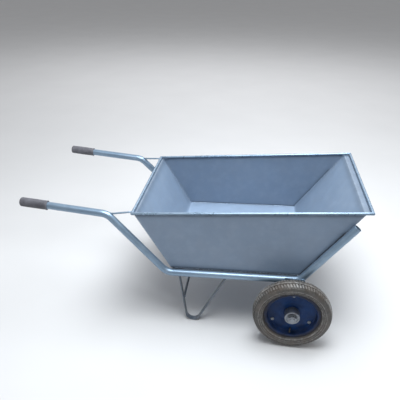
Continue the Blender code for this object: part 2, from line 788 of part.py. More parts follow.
def tube_section(radius, half_height, half_width, steps=INNER_TUBE_SIDES):
    angles = (-2 * math.pi * step / steps for step in range(steps))
    return [(radius + half_height * math.cos(a), half_width * math.sin(a)) for a in angles]


def build_inner_tube(side, wheel):
    """A hollow rubber ring that fills the tyre, open where its valve goes in."""
    slack = TYRE_WALL + INNER_TUBE_SLACK
    high = WHEEL_RADIUS - slack
    low = FLANGE_RADIUS + slack / 2
    middle = (high + low) / 2
    half_height = (high - low) / 2
    half_width = TREAD_SHOULDER - slack / 4
    section = tube_section(middle, half_height, half_width)
    name = f"inner_tube_{side}"
    piece = turned(name, section, True, "butyl_rubber", wheel)
    wall = piece.modifiers.new("wall", "SOLIDIFY")
    wall.thickness = INNER_TUBE_WALL
    wall.offset = -1
    hole = cylinder_mesh(f"{name}_mouth", VALVE_RADIUS, half_height, BOLT_STEPS)
    spot = valve_place(side, low - half_height / 2)
    combine(piece, add_cutter(f"{name}_mouth", hole, wheel, spot, valve_turn(side)))
    return low


def valve_place(side, radius):
    place = radius * direction(mirrored_angle(VALVE_ANGLE, side))
    return (place.x, place.y, VALVE_OFFSET)


def valve_turn(side):
    """Turns a z-axis shape to point outwards along the valve's radius."""
    return (0, math.pi / 2, mirrored_angle(VALVE_ANGLE, side))


def build_valve(side, wheel, tube_low):
    start = BARREL_RADIUS - VALVE_REACH
    stem_length = tube_low - FIT_GAP - start
    name = f"valve_stem_{side}"
    holder = add_empty(f"valve_axis_{side}", wheel, valve_place(side, start), valve_turn(side))
    profile = [
        (0, stem_length),
        (VALVE_RADIUS, stem_length),
        (VALVE_RADIUS, VALVE_CAP_LENGTH),
        (VALVE_CAP_RADIUS, VALVE_CAP_LENGTH),
        (VALVE_CAP_RADIUS, 0),
        (0, 0),
    ]
    turned(name, profile, False, "butyl_rubber", holder, BOLT_STEPS)


def build_hub(side, wheel):
    half = HUB_LENGTH / 2
    shoulder = half - BEARING_RECESS - BEARING_WIDTH - 2 * FIT_GAP
    seat = BEARING_RADIUS + FIT_GAP
    profile = [
        (HUB_RADIUS, half),
        (HUB_RADIUS, -half),
        (seat, -half),
        (seat, -shoulder),
        (seat - BEARING_SHOULDER, -shoulder),
        (seat - BEARING_SHOULDER, shoulder),
        (seat, shoulder),
        (seat, half),
    ]
    turned(f"hub_{side}", profile, True, "bare_steel", wheel)
    bore = bore_around(AXLE_RADIUS, WHEEL_STEPS)
    top = half - BEARING_RECESS
    outer = ring_profile(bore, BEARING_RADIUS, top - BEARING_WIDTH, top)
    inner = ring_profile(bore, BEARING_RADIUS, -top, BEARING_WIDTH - top)
    turned(f"bearing_outer_{side}", outer, True, "bare_steel", wheel)
    turned(f"bearing_inner_{side}", inner, True, "bare_steel", wheel)


def build_wheel(side, parent):
    """Everything on one end of the axle; both empties' z axes point outboard."""
    sign = SIDES[side]
    place = (0, sign * WHEEL_PLANE, AXLE_HEIGHT)
    turn = (-sign * math.pi / 2, 0, 0)
    seat = add_empty(f"axle_end_{side}", parent, place, turn)
    build_axle_hardware(side, seat)
    wheel = add_empty(f"wheel_{side}_axis", parent, place, turn)
    build_hub(side, wheel)
    build_rims(side, wheel)
    build_rim_bolts(side, wheel)
    build_tyre(side, wheel)
    tube_low = build_inner_tube(side, wheel)
    build_valve(side, wheel, tube_low)


def centre_over_ground(root):
    """Moves the root so that the barrow's box is centred on the world's z axis."""
    bpy.context.view_layer.update()
    graph = bpy.context.evaluated_depsgraph_get()
    xs = []
    for piece in barrow.objects:
        if piece.type in {"MESH", "CURVE"}:
            solid = piece.evaluated_get(graph)
            xs += [(solid.matrix_world @ vertex.co).x for vertex in solid.to_mesh().vertices]
            solid.to_mesh_clear()
    root.location.x = -(min(xs) + max(xs)) / 2


clear_scene()
make_materials()
barrow = new_collection("wheelbarrow")
cutters = new_collection("cutters")
cutters.hide_render = True
barrow_root = add_empty("barrow_root", None)
build_tray(barrow_root)
build_rim(barrow_root)
build_side_tubes(barrow_root)
build_cross_tubes(barrow_root)
build_corner_stays(barrow_root)
build_legs(barrow_root)
build_leg_brace(barrow_root)
build_grips(barrow_root)
build_axle_plates(barrow_root)
build_axle(barrow_root)
for wheel_side in SIDES:
    build_wheel(wheel_side, barrow_root)
centre_over_ground(barrow_root)
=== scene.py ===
"""A two-wheeled wheelbarrow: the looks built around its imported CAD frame.

Welded blue-grey tray and tube frame, rubber grips, and pneumatic tyres on dark blue
pressed rims. Units are metres, +X runs from the grips to the front of the tray, +Z is up.
"""

import math
import random

import bmesh
import bpy
from mathutils import Matrix, Vector, noise


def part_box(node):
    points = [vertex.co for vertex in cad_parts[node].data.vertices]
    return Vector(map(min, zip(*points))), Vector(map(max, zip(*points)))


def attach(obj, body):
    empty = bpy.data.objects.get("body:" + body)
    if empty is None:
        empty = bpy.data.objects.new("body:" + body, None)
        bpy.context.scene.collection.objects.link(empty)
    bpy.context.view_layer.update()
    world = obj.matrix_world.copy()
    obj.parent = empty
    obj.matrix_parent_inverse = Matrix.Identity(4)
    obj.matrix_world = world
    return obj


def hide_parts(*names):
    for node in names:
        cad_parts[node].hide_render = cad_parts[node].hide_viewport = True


# noise_vector's offsets come from the clock unless they are seeded
noise.seed_set(1)

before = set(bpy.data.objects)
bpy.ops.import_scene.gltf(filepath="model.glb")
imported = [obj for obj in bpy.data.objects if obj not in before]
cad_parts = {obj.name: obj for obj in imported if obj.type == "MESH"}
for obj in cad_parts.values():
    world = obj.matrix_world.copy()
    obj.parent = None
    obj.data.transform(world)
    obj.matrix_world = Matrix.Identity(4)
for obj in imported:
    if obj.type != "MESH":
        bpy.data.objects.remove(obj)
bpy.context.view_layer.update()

ROOT = "root"
SIDES = {"right": -1, "left": 1}
ACROSS = Vector((0, 1, 0))
SMOOTH_ANGLE = math.radians(32)


# ---- Places worked out from the frame's boxes ----


def low(node):
    return Vector(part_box(node)[0])


def high(node):
    return Vector(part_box(node)[1])


def middle(node):
    return (low(node) + high(node)) / 2


AXLE_X = middle("axle").x
AXLE_HEIGHT = middle("axle").z
WHEEL_PLANE = middle("tyre_left").y
WHEEL_RADIUS = AXLE_HEIGHT
HANDLE_HALF = middle("grip_left").y
PLATE_PLANE = middle("axle_plate_left").y
LEG_HALF = middle("leg_left").y
LEG_INSET = 0.0134  # middle of the leg's bar, inboard of the rail's middle
RAIL_HALF = LEG_HALF + LEG_INSET
SIDE_PLANE = middle("tray_side_left").y

# ---- Sizes that the pieces share with the frame ----

SHEET = 0.0015
FIT_GAP = 0.0003
TUBE_RADIUS = 0.01685
TUBE_WALL = 0.0020
CROSS_TUBE_RADIUS = 0.01345
RIM_ROD_RADIUS = 0.0065
STAY_RADIUS = 0.004
BRACE_RADIUS = 0.006
LEG_WIDTH = 0.025
LEG_THICKNESS = 0.005
LEG_FOOT_RADIUS = 0.034
LEG_TOP_RADIUS = 0.009
LEG_LAP = 0.024
LEG_REAR_TOP = 0.040  # this and the next two are ahead of the tray's rear fold
LEG_FOOT = 0.107
LEG_FRONT_TOP = 0.262
PLATE_WIDTH = 0.090
PLATE_THICKNESS = 0.006
PLATE_FOOT_RADIUS = 0.030
PLATE_EASE = 0.0007
FOLD_RADIUS = 0.008
LIP_FOLD_RADIUS = 0.004
REAR_BEND_RADIUS = 0.070
FRONT_BEND_RADIUS = 0.048
HANDLE_BEND_RADIUS = 0.070
RISER_ANGLE = math.radians(45.7)
UPRIGHT_ANGLE = math.radians(55.2)
HANDLE_ANGLE = math.radians(4.3)
AXLE_RADIUS = 0.0125
BARREL_RADIUS = 0.112
FLANGE_RADIUS = 0.127
RIM_HALF_WIDTH = 0.0205
RIM_SHEET = 0.002
DISC_FACE = -0.010  # outer face of the discs' joint, from the tyre's middle plane
HUB_RADIUS = 0.034
HUB_HALF = 0.034
BEARING_RADIUS = 0.026
BEARING_WIDTH = 0.015
BEARING_RECESS = 0.003
FLOOR_AHEAD = 0.029
FLOOR_LENGTH = 0.602
FLOOR_HEIGHT = 0.299
FLOOR_RISE = 0.023
REAR_WALL = Vector((-0.167, 0.280))
FRONT_WALL = Vector((0.234, 0.346))
REAR_LIP = 0.0075
FRONT_LIP = 0.023
RAIL_DROP = 0.013
REAR_BEND_SETBACK = 0.018
FRONT_BEND_SETBACK = 0.004
HANDLE_HEIGHT = 0.565
HANDLE_LENGTH = 0.404
UPRIGHT_LENGTH = 0.3625
STAY_INSET = 0.018


def at(x, z):
    """A point of the side view, measured ahead of the axle and above the ground."""
    return Vector((AXLE_X + x, z))


def direction(angle):
    return Vector((math.cos(angle), math.sin(angle)))


def left_of(along):
    """A quarter turn to the left in the side view."""
    return Vector((-along.y, along.x))


def upright(point, y):
    """A point of the side view, moved out to a distance to the left."""
    return Vector((point.x, y, point.y))


def side_view(point):
    return Vector((point.x, point.z))


FLOOR_FRONT = at(FLOOR_AHEAD, FLOOR_HEIGHT + FLOOR_RISE)
FLOOR_REAR = at(FLOOR_AHEAD - FLOOR_LENGTH, FLOOR_HEIGHT)
WALL_TOP_REAR = FLOOR_REAR + REAR_WALL
WALL_TOP_FRONT = FLOOR_FRONT + FRONT_WALL
ALONG_RIM = (WALL_TOP_FRONT - WALL_TOP_REAR).normalized()
ALONG_FLOOR = (FLOOR_FRONT - FLOOR_REAR).normalized()
RIM_REAR = WALL_TOP_REAR - REAR_LIP * ALONG_RIM
RIM_FRONT = WALL_TOP_FRONT + FRONT_LIP * ALONG_RIM


def below(line, distance):
    """The line (a point and its direction) moved down by a distance."""
    start, along = line
    return start - left_of(along) * distance, along


def point_at_x(line, x):
    start, along = line
    return start + along * (x - start.x) / along.x


def crossing(first, second):
    (start, along), (other, course) = first, second
    offset = other - start
    share = (offset.x * course.y - offset.y * course.x) / (along.x * course.y - along.y * course.x)
    return start + along * share


RAIL_LINE = below((FLOOR_REAR, ALONG_FLOOR), RAIL_DROP)
REAR_BEND = point_at_x(RAIL_LINE, FLOOR_REAR.x - REAR_BEND_SETBACK)
FRONT_BEND = point_at_x(RAIL_LINE, FLOOR_FRONT.x - FRONT_BEND_SETBACK)
HANDLE_RISE = HANDLE_HEIGHT - REAR_BEND.y
HANDLE_BEND = REAR_BEND + Vector((-HANDLE_RISE / math.tan(RISER_ANGLE), HANDLE_RISE))
HANDLE_END = HANDLE_BEND + HANDLE_LENGTH * direction(math.pi - HANDLE_ANGLE)
UPRIGHT_END = FRONT_BEND + UPRIGHT_LENGTH * direction(UPRIGHT_ANGLE)


# ---- Materials ----


class Finish:
    """A Principled material and short ways to add the nodes that vary it."""

    def __init__(self, name):
        self.material = bpy.data.materials.new(name)
        self.material.use_nodes = True
        self.tree = self.material.node_tree
        self.shader = self.tree.nodes["Principled BSDF"]
        self.place = self.tree.nodes.new("ShaderNodeTexCoord").outputs["Object"]

    def set(self, **values):
        for name, value in values.items():
            self.shader.inputs[name.replace("_", " ")].default_value = value

    def put(self, source, socket):
        if isinstance(source, bpy.types.NodeSocket):
            self.tree.links.new(source, socket)
        elif socket.type == "RGBA":
            socket.default_value = (*source, 1)
        else:
            socket.default_value = source

    def node(self, kind, inputs, output, **settings):
        """Adds a shader node, puts a value or another node's output in each input, and gives its output."""
        node = self.tree.nodes.new("ShaderNode" + kind)
        for name, value in settings.items():
            setattr(node, name, value)
        for name, source in inputs.items():
            self.put(source, node.inputs[name])
        return node.outputs[output]

    def noise(self, scale, detail=3, roughness=0.55, stretch=(1, 1, 1), distortion=0):
        place = self.node("Mapping", {"Vector": self.place, "Scale": stretch}, "Vector")
        inputs = {"Vector": place, "Scale": scale, "Detail": detail, "Roughness": roughness}
        return self.node("TexNoise", {**inputs, "Distortion": distortion}, "Fac")

    def cells(self, scale):
        return self.node("TexVoronoi", {"Vector": self.place, "Scale": scale}, "Distance")

    def ramp(self, source, low_end, high_end, low_value=0.0, high_value=1.0):
        ends = {"From Min": low_end, "From Max": high_end, "To Min": low_value, "To Max": high_value}
        return self.node("MapRange", {"Value": source, **ends}, "Result")

    def math(self, kind, first, second):
        return self.node("Math", {0: first, 1: second}, "Value", operation=kind)

    def mix(self, share, first, second):
        """Mixes two colours, which are inputs 6 and 7 and output 2 of a Mix node."""
        return self.node("Mix", {"Factor": share, 6: first, 7: second}, 2, data_type="RGBA")

    def attribute(self, name):
        return self.node("Attribute", {}, "Fac", attribute_name=name)

    def height(self):
        return self.node("SeparateXYZ", {"Vector": self.place}, "Z")

    def axle_distance(self):
        """Distance from the axle's line, the same on both wheels."""
        inputs = {0: self.place, 1: (1, 0, 1), 2: (-AXLE_X, 0, -AXLE_HEIGHT)}
        spoke = self.node("VectorMath", inputs, "Vector", operation="MULTIPLY_ADD")
        return self.node("VectorMath", {0: spoke}, "Value", operation="LENGTH")

    def bump(self, *layers):
        """Each layer is (height, depth in metres, strength)."""
        normal = {}
        for source, depth, strength in layers:
            inputs = {"Height": source, "Distance": depth, "Strength": strength, **normal}
            normal = {"Normal": self.node("Bump", inputs, "Normal")}
        self.put(normal["Normal"], self.shader.inputs["Normal"])

    def finish(self, colour, roughness):
        self.put(colour, self.shader.inputs["Base Color"])
        self.put(roughness, self.shader.inputs["Roughness"])
        return self.material


def painted_steel(name, base, light, dark, gloss, metallic=0.0, wear=1.0, peel=1.0):
    """Sprayed paint: cloudy colour, orange peel, rubbed edges, scratches, chips and dust.

    Four point attributes say where a piece is rubbed at its edges, polished by its load with a painted sheen,
    darkened by painted shade under the rim, on the lips and under the rim bars, and darkened by painted shade
    in the nooks beside the tubes.
    """
    look = Finish(name)
    look.set(Metallic=metallic, IOR=1.5, Coat_Weight=0.15, Coat_Roughness=0.25)
    clouds = look.noise(3.2, 4)
    mottle = look.noise(26, 5, 0.62)
    colour = look.mix(look.ramp(clouds, 0.34, 0.66), dark, base)
    colour = look.mix(look.ramp(mottle, 0.45, 0.8, 0, 0.55), colour, light)
    edge = look.attribute("edge")
    rubbed = look.math("MULTIPLY", edge, look.ramp(look.noise(90, 4), 0.25, 0.75))
    colour = look.mix(look.math("MULTIPLY", rubbed, 0.45 * wear), colour, (0.46, 0.54, 0.62))
    scratch = look.noise(30, 3, 0.5, (1, 1, 9), 0.6)
    scratches = look.ramp(scratch, 0.685, 0.715, 0, 0.55 * wear)
    colour = look.mix(scratches, colour, light)
    specks = look.ramp(look.cells(120), 0.05, 0.09, 1, 0)
    chosen = look.ramp(look.noise(9, 2), 0.60, 0.68)
    chips = look.math("MULTIPLY", specks, chosen)
    colour = look.mix(look.math("MULTIPLY", chips, 0.8 * wear), colour, (0.10, 0.075, 0.06))
    dusty = look.ramp(look.noise(14, 6, 0.7), 0.42, 0.75, 0, 0.35)
    near_ground = look.ramp(look.height(), 0.0, 0.30, 1, 0)
    dust = look.math("MULTIPLY", dusty, look.math("ADD", near_ground, 0.25))
    colour = look.mix(dust, colour, (0.33, 0.31, 0.28))
    # the tray floor's lighter patches: polish from the load, and painted sheen
    patches = look.ramp(look.noise(8, 5), 0.3, 0.7, 0.35, 0.9)
    polish_and_sheen = look.math("MULTIPLY", look.attribute("polish_and_sheen"), patches)
    colour = look.mix(polish_and_sheen, colour, tuple(1.4 * c for c in light))
    # painted shade: darker under the rim, on the tray's lips and along the rim bars' undersides
    blotches = look.ramp(look.noise(20, 4), 0.2, 0.6, 0.4, 0.7)
    shade = look.math("MULTIPLY", look.attribute("shade"), blotches)
    colour = look.mix(shade, colour, tuple(0.55 * c for c in dark))
    # painted shade: near black along the nook between the tray's side and the tube beside it
    nook_shade = look.math("MULTIPLY", look.attribute("nook_shade"), look.ramp(look.noise(55, 4), 0.15, 0.42))
    colour = look.mix(nook_shade, colour, (0.012, 0.018, 0.030))
    rough = look.ramp(mottle, 0.3, 0.75, gloss - 0.06, gloss + 0.12)
    rough = look.math("ADD", rough, look.math("MULTIPLY", dust, 0.5))
    look.bump(
        (look.noise(420, 2), 0.00012, 0.35 * peel),
        (look.noise(60, 3), 0.0004, 0.25 * peel),
        (chips, -0.0004, 0.6 * peel),
        (scratches, -0.0002, 0.4 * peel),
    )
    return look.finish(colour, rough)


def wheel_enamel():
    """Dark blue enamel on the pressed rims, glossy where it isn't dusty."""
    look = Finish("wheel_enamel")
    look.set(Metallic=0.0, IOR=1.5, Specular_IOR_Level=0.10, Coat_Weight=0.02, Coat_Roughness=0.08)
    clouds = look.noise(18, 4)
    colour = look.mix(look.ramp(clouds, 0.35, 0.7), (0.005, 0.020, 0.072), (0.009, 0.042, 0.150))
    away = look.axle_distance()
    # darker towards the flange, where the tyre meets the rim
    at_flange = look.ramp(away, 0.108, 0.120, 0, 1)
    blotches = look.ramp(look.noise(38, 6, 0.7), 0.40, 0.66)
    flange_darkening = look.math("MULTIPLY", at_flange, look.ramp(blotches, 0, 1, 0.55, 1.0))
    dust = look.math("MULTIPLY", blotches, 0.07)
    colour = look.mix(dust, colour, (0.15, 0.15, 0.15))
    colour = look.mix(flange_darkening, colour, (0.040, 0.036, 0.034))
    dust = look.math("ADD", dust, flange_darkening)
    chips = look.ramp(look.noise(150, 3), 0.70, 0.74, 0, 0.6)
    colour = look.mix(chips, colour, (0.16, 0.10, 0.07))
    rough = look.math("ADD", look.math("MULTIPLY", dust, 0.45), 0.20)
    look.bump((look.noise(300, 2), 0.0001, 0.3), (look.noise(24, 3), 0.0006, 0.3))
    return look.finish(colour, rough)


def tyre_rubber():
    """Worn rubber, scuffed paler on its lands, with painted highlights as paler tops on its sidewall ribs,
    and packed with brown dust in its grooves.
    """
    look = Finish("tyre_rubber_worn")
    look.set(Metallic=0.0, IOR=1.5)
    land = look.attribute("land")
    mottle = look.noise(30, 6, 0.68)
    rubber = look.mix(look.ramp(mottle, 0.35, 0.65), (0.020, 0.019, 0.018), (0.070, 0.065, 0.059))
    scuff_and_highlight = look.ramp(look.noise(75, 5, 0.7), 0.42, 0.68, 0.15, 0.9)
    colour = look.mix(look.math("MULTIPLY", land, scuff_and_highlight), rubber, (0.33, 0.32, 0.31))
    muddy = look.ramp(look.noise(11, 5, 0.65), 0.44, 0.64, 0, 0.5)
    colour = look.mix(muddy, colour, (0.115, 0.088, 0.068))
    away = look.axle_distance()
    ring = look.ramp(away, FLANGE_RADIUS, FLANGE_RADIUS + 0.006, 0.7, 0)
    colour = look.mix(ring, colour, (0.035, 0.03, 0.028))
    rough = look.ramp(mottle, 0.3, 0.8, 0.32, 0.52)
    pits = look.cells(260)
    look.bump((mottle, 0.0006, 0.5), (pits, 0.0003, 0.3), (look.noise(500, 2), 0.0001, 0.4))
    return look.finish(colour, rough)


def grip_rubber():
    """Grey moulded rubber with a fine grain, darker and glossier in patches, with paler scuffs."""
    look = Finish("grip_rubber_worn")
    look.set(Metallic=0.0, IOR=1.5)
    patches = look.noise(28, 5, 0.6)
    colour = look.mix(look.ramp(patches, 0.35, 0.68), (0.080, 0.079, 0.092), (0.150, 0.149, 0.170))
    scuffs = look.ramp(look.noise(110, 4, 0.6, (1, 1, 4)), 0.60, 0.72, 0, 0.6)
    colour = look.mix(scuffs, colour, (0.33, 0.33, 0.36))
    rough = look.ramp(patches, 0.3, 0.75, 0.48, 0.72)
    look.bump((look.cells(900), 0.00025, 0.6), (look.noise(160, 3), 0.0003, 0.35))
    return look.finish(colour, rough)


def zinc_steel(name, base, rust, gloss):
    """Plated or bare steel, dulled, with rust starting in its low spots."""
    look = Finish(name)
    look.set(Metallic=0.85, IOR=1.8)
    spangle = look.cells(180)
    cloud = look.noise(60, 5, 0.65)
    colour = look.mix(look.ramp(spangle, 0.1, 0.7, 0, 0.6), base, tuple(c * 0.7 for c in base))
    rusty = look.ramp(cloud, 0.56, 0.74, 0, rust)
    colour = look.mix(rusty, colour, (0.16, 0.075, 0.035))
    dulled = look.ramp(cloud, 0.3, 0.7, gloss, gloss + 0.15)
    rough = look.math("ADD", dulled, look.math("MULTIPLY", rusty, 0.4))
    look.bump((look.noise(350, 3), 0.00015, 0.5), (cloud, 0.0002, 0.3))
    return look.finish(colour, rough)


def dark_rubber():
    """Black butyl rubber of the valves and inner tubes, with a chalky bloom."""
    look = Finish("butyl_rubber_dusty")
    look.set(Metallic=0.0)
    bloom = look.noise(70, 5, 0.7)
    colour = look.mix(look.ramp(bloom, 0.45, 0.75, 0, 0.6), (0.02, 0.02, 0.021), (0.13, 0.12, 0.11))
    look.bump((look.noise(400, 2), 0.0002, 0.4))
    return look.finish(colour, look.ramp(bloom, 0.3, 0.8, 0.55, 0.85))


ZINC = (0.26, 0.28, 0.31)
LEG_BASE = (0.120, 0.150, 0.190)
LEG_LIGHT = (0.170, 0.200, 0.240)
LEG_DARK = (0.085, 0.105, 0.130)
PAINT_BASE = (0.190, 0.255, 0.350)
PAINT_LIGHT = (0.225, 0.295, 0.395)
PAINT_DARK = (0.170, 0.230, 0.318)
# Lighter paint of the tray's seams: a painted highlight
SEAM_HIGHLIGHT = (0.34, 0.42, 0.52)
TUBE_BASE = (0.250, 0.345, 0.450)
TUBE_LIGHT = (0.310, 0.400, 0.500)
TUBE_DARK = (0.190, 0.275, 0.375)
# Near-black paint of the nook beads: painted shade in the nook
NOOK_SHADE_BASE = (0.016, 0.024, 0.040)
NOOK_SHADE_LIGHT = (0.032, 0.046, 0.070)
NOOK_SHADE_DARK = (0.008, 0.012, 0.020)

LOOKS = {
    "tray_paint": painted_steel("tray_paint_aged", PAINT_BASE, PAINT_LIGHT, PAINT_DARK, 0.42),
    "frame_paint": painted_steel("frame_paint_aged", TUBE_BASE, TUBE_LIGHT, TUBE_DARK, 0.35, 0.62, peel=0.2),
    "rim_paint": painted_steel("rim_paint_aged", TUBE_BASE, TUBE_LIGHT, TUBE_DARK, 0.26, 0.55, peel=0.15),
    "wheel_paint": wheel_enamel(),
    "tyre_rubber": tyre_rubber(),
    "grip_rubber": grip_rubber(),
    "bare_steel": zinc_steel("bare_steel_dull", ZINC, 0.55, 0.34),
    "butyl_rubber": dark_rubber(),
}
WELD_LOOK = painted_steel("weld_paint_aged", PAINT_DARK, PAINT_BASE, PAINT_DARK, 0.36, 0.0, 0.5)
# the seams' lighter paint is a painted highlight
SEAM_HIGHLIGHT_LOOK = painted_steel("seam_paint_highlight", PAINT_LIGHT, SEAM_HIGHLIGHT, PAINT_LIGHT, 0.30, 0.35, 0.4)
NOOK_SHADE_LOOK = painted_steel("nook_shade_paint", NOOK_SHADE_BASE, NOOK_SHADE_LIGHT, NOOK_SHADE_DARK, 0.6, 0.0, 0.2)
LEG_LOOK = painted_steel("leg_paint_aged", LEG_BASE, LEG_LIGHT, LEG_DARK, 0.36, 0.2)


# ---- Mesh building ----


def lofted(bm, rows, closed=True, caps=False, around=False):
    """Quads between rows of points. Rows are rings if closed; around joins the last to the first."""
    rings = [[bm.verts.new(point) for point in row] for row in rows]
    pairs = list(zip(rings, rings[1:]))
    if around:
        pairs.append((rings[-1], rings[0]))
    count = len(rows[0])
    for first, second in pairs:
        for i in range(count if closed else count - 1):
            j = (i + 1) % count
            bm.faces.new((first[i], first[j], second[j], second[i]))
    if caps:
        bm.faces.new(rings[0][::-1])
        bm.faces.new(rings[-1])
    return rings


def piece(name, bm, slot, replaced=(), body=ROOT, look=None, sharp=SMOOTH_ANGLE):
    """Turns the bmesh into a piece that stands for CAD nodes and moves with a body."""
    bmesh.ops.recalc_face_normals(bm, faces=bm.faces)
    mesh = bpy.data.meshes.new(name)
    bm.to_mesh(mesh)
    bm.free()
    mesh.shade_smooth()
    mesh.set_sharp_from_angle(angle=sharp)
    mesh.materials.append(look or LOOKS[slot])
    obj = bpy.data.objects.new(name, mesh)
    bpy.context.scene.collection.objects.link(obj)
    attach(obj, body)
    if replaced:
        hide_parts(*replaced)
    return obj


def rounded_path(corners, radii, steps=10):
    """The corners joined by straight lines, with an arc of the given radius at each inner one."""
    points = [corners[0]]
    for before, corner, after, radius in zip(corners, corners[1:], corners[2:], radii):
        into = (corner - before).normalized()
        out = (after - corner).normalized()
        turn = into.angle(out)
        start = corner - into * radius * math.tan(turn / 2)
        spoke = -(out - into * into.dot(out)).normalized() * radius
        centre = start - spoke
        for step in range(steps + 1):
            angle = turn * step / steps
            points.append(centre + spoke * math.cos(angle) + into * radius * math.sin(angle))
    return points + [corners[-1]]


def spaced(points, gap):
    """The same path with extra points, so that no two are further apart than the gap."""
    result = [points[0]]
    for before, after in zip(points, points[1:]):
        parts = max(1, math.ceil((after - before).length / gap))
        result += [before.lerp(after, part / parts) for part in range(1, parts + 1)]
    return result


def courses(path):
    """The direction of a path at each of its points, from the points before and after."""
    neighbours = zip([path[0], *path[:-1]], [*path[1:], path[-1]])
    return [(after - before).normalized() for before, after in neighbours]


def crossbar(point, reach, gap):
    """The path of a bar from one side of the barrow to the other."""
    return spaced([upright(point, -reach), upright(point, reach)], gap)


def rings_along(points, radii, sides):
    """Round sections along a path, carried along it without twist."""
    pieces = [(after - before).normalized() for before, after in zip(points, points[1:])]
    tangents = [(a + b).normalized() for a, b in zip([pieces[0], *pieces], [*pieces, pieces[-1]])]
    spoke = tangents[0].orthogonal().normalized()
    rows = []
    for point, tangent, radius in zip(points, tangents, radii):
        spoke = (spoke - tangent * spoke.dot(tangent)).normalized()
        other = tangent.cross(spoke)
        angles = (2 * math.pi * side / sides for side in range(sides))
        rows.append([point + radius * (spoke * math.cos(a) + other * math.sin(a)) for a in angles])
    return rows


def add_pipe(bm, points, radius, wall, sides=40):
    """A hollow tube whose ends are rounded off a little."""
    ease = wall * 0.3
    outer = rings_along(points, [radius] * len(points), sides)
    inner = rings_along(points, [radius - wall] * len(points), sides)
    starts = rings_along(points[:2], [radius - ease] * 2, sides)
    along_first = (points[1] - points[0]).normalized() * ease
    along_last = (points[-1] - points[-2]).normalized() * ease
    outer_rows = [[p + along_first for p in outer[0]]] + outer[1:-1] + [[p - along_last for p in outer[-1]]]
    tail = rings_along(points, [radius - ease] * len(points), sides)[-1]
    lofted(bm, [starts[0]] + outer_rows + [tail] + inner[::-1], around=True)


def add_rod(bm, points, radius, dome=0.5, sides=28):
    """A solid rod with its ends domed; the dome is a share of the radius, inside the length."""
    depth = radius * dome
    first = (points[1] - points[0]).normalized()
    last = (points[-1] - points[-2]).normalized()
    angles = [math.pi / 2 * step / 5 for step in range(6)]
    start = [points[0] + first * depth * (1 - math.cos(a)) for a in angles]
    end = [points[-1] - last * depth * (1 - math.cos(a)) for a in angles]
    sizes = [radius * max(0.12, math.sin(a)) for a in angles]
    line = start + points[1:-1] + end[::-1]
    radii = sizes + [radius] * (len(points) - 2) + sizes[::-1]
    lofted(bm, rings_along(line, radii, sides), caps=True)


def add_bead(bm, points, radius, seed, ripple=0.0045):
    """A weld bead: overlapping ripples that swell and wander a little along the joint."""
    rng = random.Random(seed)
    line = spaced(points, radius * 0.4)
    wander = [noise.noise_vector(Vector((seed, i * 0.21, 0))) * radius * 0.22 for i in range(len(line))]
    line = [point + shift for point, shift in zip(line, wander)]
    travelled = 0.0
    radii = []
    for index, point in enumerate(line):
        travelled += (point - line[index - 1]).length if index else 0.0
        wave = 0.5 + 0.5 * math.cos(2 * math.pi * ((travelled / ripple) % 1) ** 1.6)
        swell = 1 + 0.18 * noise.noise(Vector((seed, travelled * 60, 3)))
        taper = min(1.0, (min(index, len(line) - 1 - index) + 0.6) / 3)
        radii.append(radius * swell * (0.86 + 0.14 * wave) * taper * rng.uniform(0.97, 1.03))
    lofted(bm, rings_along(line, radii, 10), caps=True)


def turns(steps):
    """Evenly spaced angles of one full turn."""
    return [2 * math.pi * step / steps for step in range(steps)]


def spun(place, radius, angle, offset):
    """A point at a radius and angle about a line along Y through the place."""
    return place + Vector((radius * math.cos(angle), offset, radius * math.sin(angle)))


def turned_rows(profile, steps, place, outward):
    """Rings of a profile of (radius, offset) turned about a line along Y; outward is +1 or -1."""
    angles = turns(steps)
    return [[spun(place, radius, a, outward * offset) for a in angles] for radius, offset in profile]


def flat_outline(bm, outlines, y, thickness):
    """An upright plate: the first outline is its edge, the others are holes in it."""
    curve = bpy.data.curves.new("outline", "CURVE")
    curve.dimensions = "2D"
    curve.fill_mode = "BOTH"
    curve.extrude = thickness / 2 - PLATE_EASE
    curve.bevel_depth = PLATE_EASE
    curve.bevel_resolution = 2
    curve.offset = -PLATE_EASE
    for outline in outlines:
        spline = curve.splines.new("POLY")
        spline.points.add(len(outline) - 1)
        for point, place in zip(spline.points, outline):
            point.co = (place.x, place.y, 0, 1)
        spline.use_cyclic_u = True
    holder = bpy.data.objects.new("outline", curve)
    mesh = bpy.data.meshes.new_from_object(holder)
    mesh.transform(Matrix.Translation((0, y, 0)) @ Matrix.Rotation(math.pi / 2, 4, "X"))
    bm.from_mesh(mesh)
    bmesh.ops.remove_doubles(bm, verts=bm.verts, dist=0.00002)
    bpy.data.objects.remove(holder)
    bpy.data.curves.remove(curve)
    bpy.data.meshes.remove(mesh)


def mark(obj, name, distance_to_edge, reach):
    """Stores on each point how near it is to an edge, fold or weld, from 1 there down to 0."""
    values = obj.data.attributes.new(name, "FLOAT", "POINT")
    for vertex, item in zip(obj.data.vertices, values.data):
        item.value = math.exp(-((distance_to_edge(vertex.co) / reach) ** 2))


# ---- Tray ----

SIDE_INNER = SIDE_PLANE - SHEET / 2
PAN_HALF = SIDE_INNER - FIT_GAP
NOOK_START = 0.004
# How far wear, polish with painted sheen, and painted shade reach from the lines that they follow
SIDE_WEAR = 0.005
FOLD_WEAR = 0.006
SHEET_NOOK_SHADE = 0.0085
TUBE_NOOK_SHADE = 0.0105
RIM_SHADE = 0.011
LIP_SHADE = 0.012
BAR_SHADE = 0.0022
FLOOR_SHEEN = 0.014
SHEET_WAVE = 0.0011
DENT_SCALE = 3.1


def line_distance(point, start, end):
    """Distance in the side view from a point to the stretch from start to end."""
    along = end - start
    share = max(0.0, min(1.0, (point - start).dot(along) / along.length_squared))
    return (point - start - along * share).length


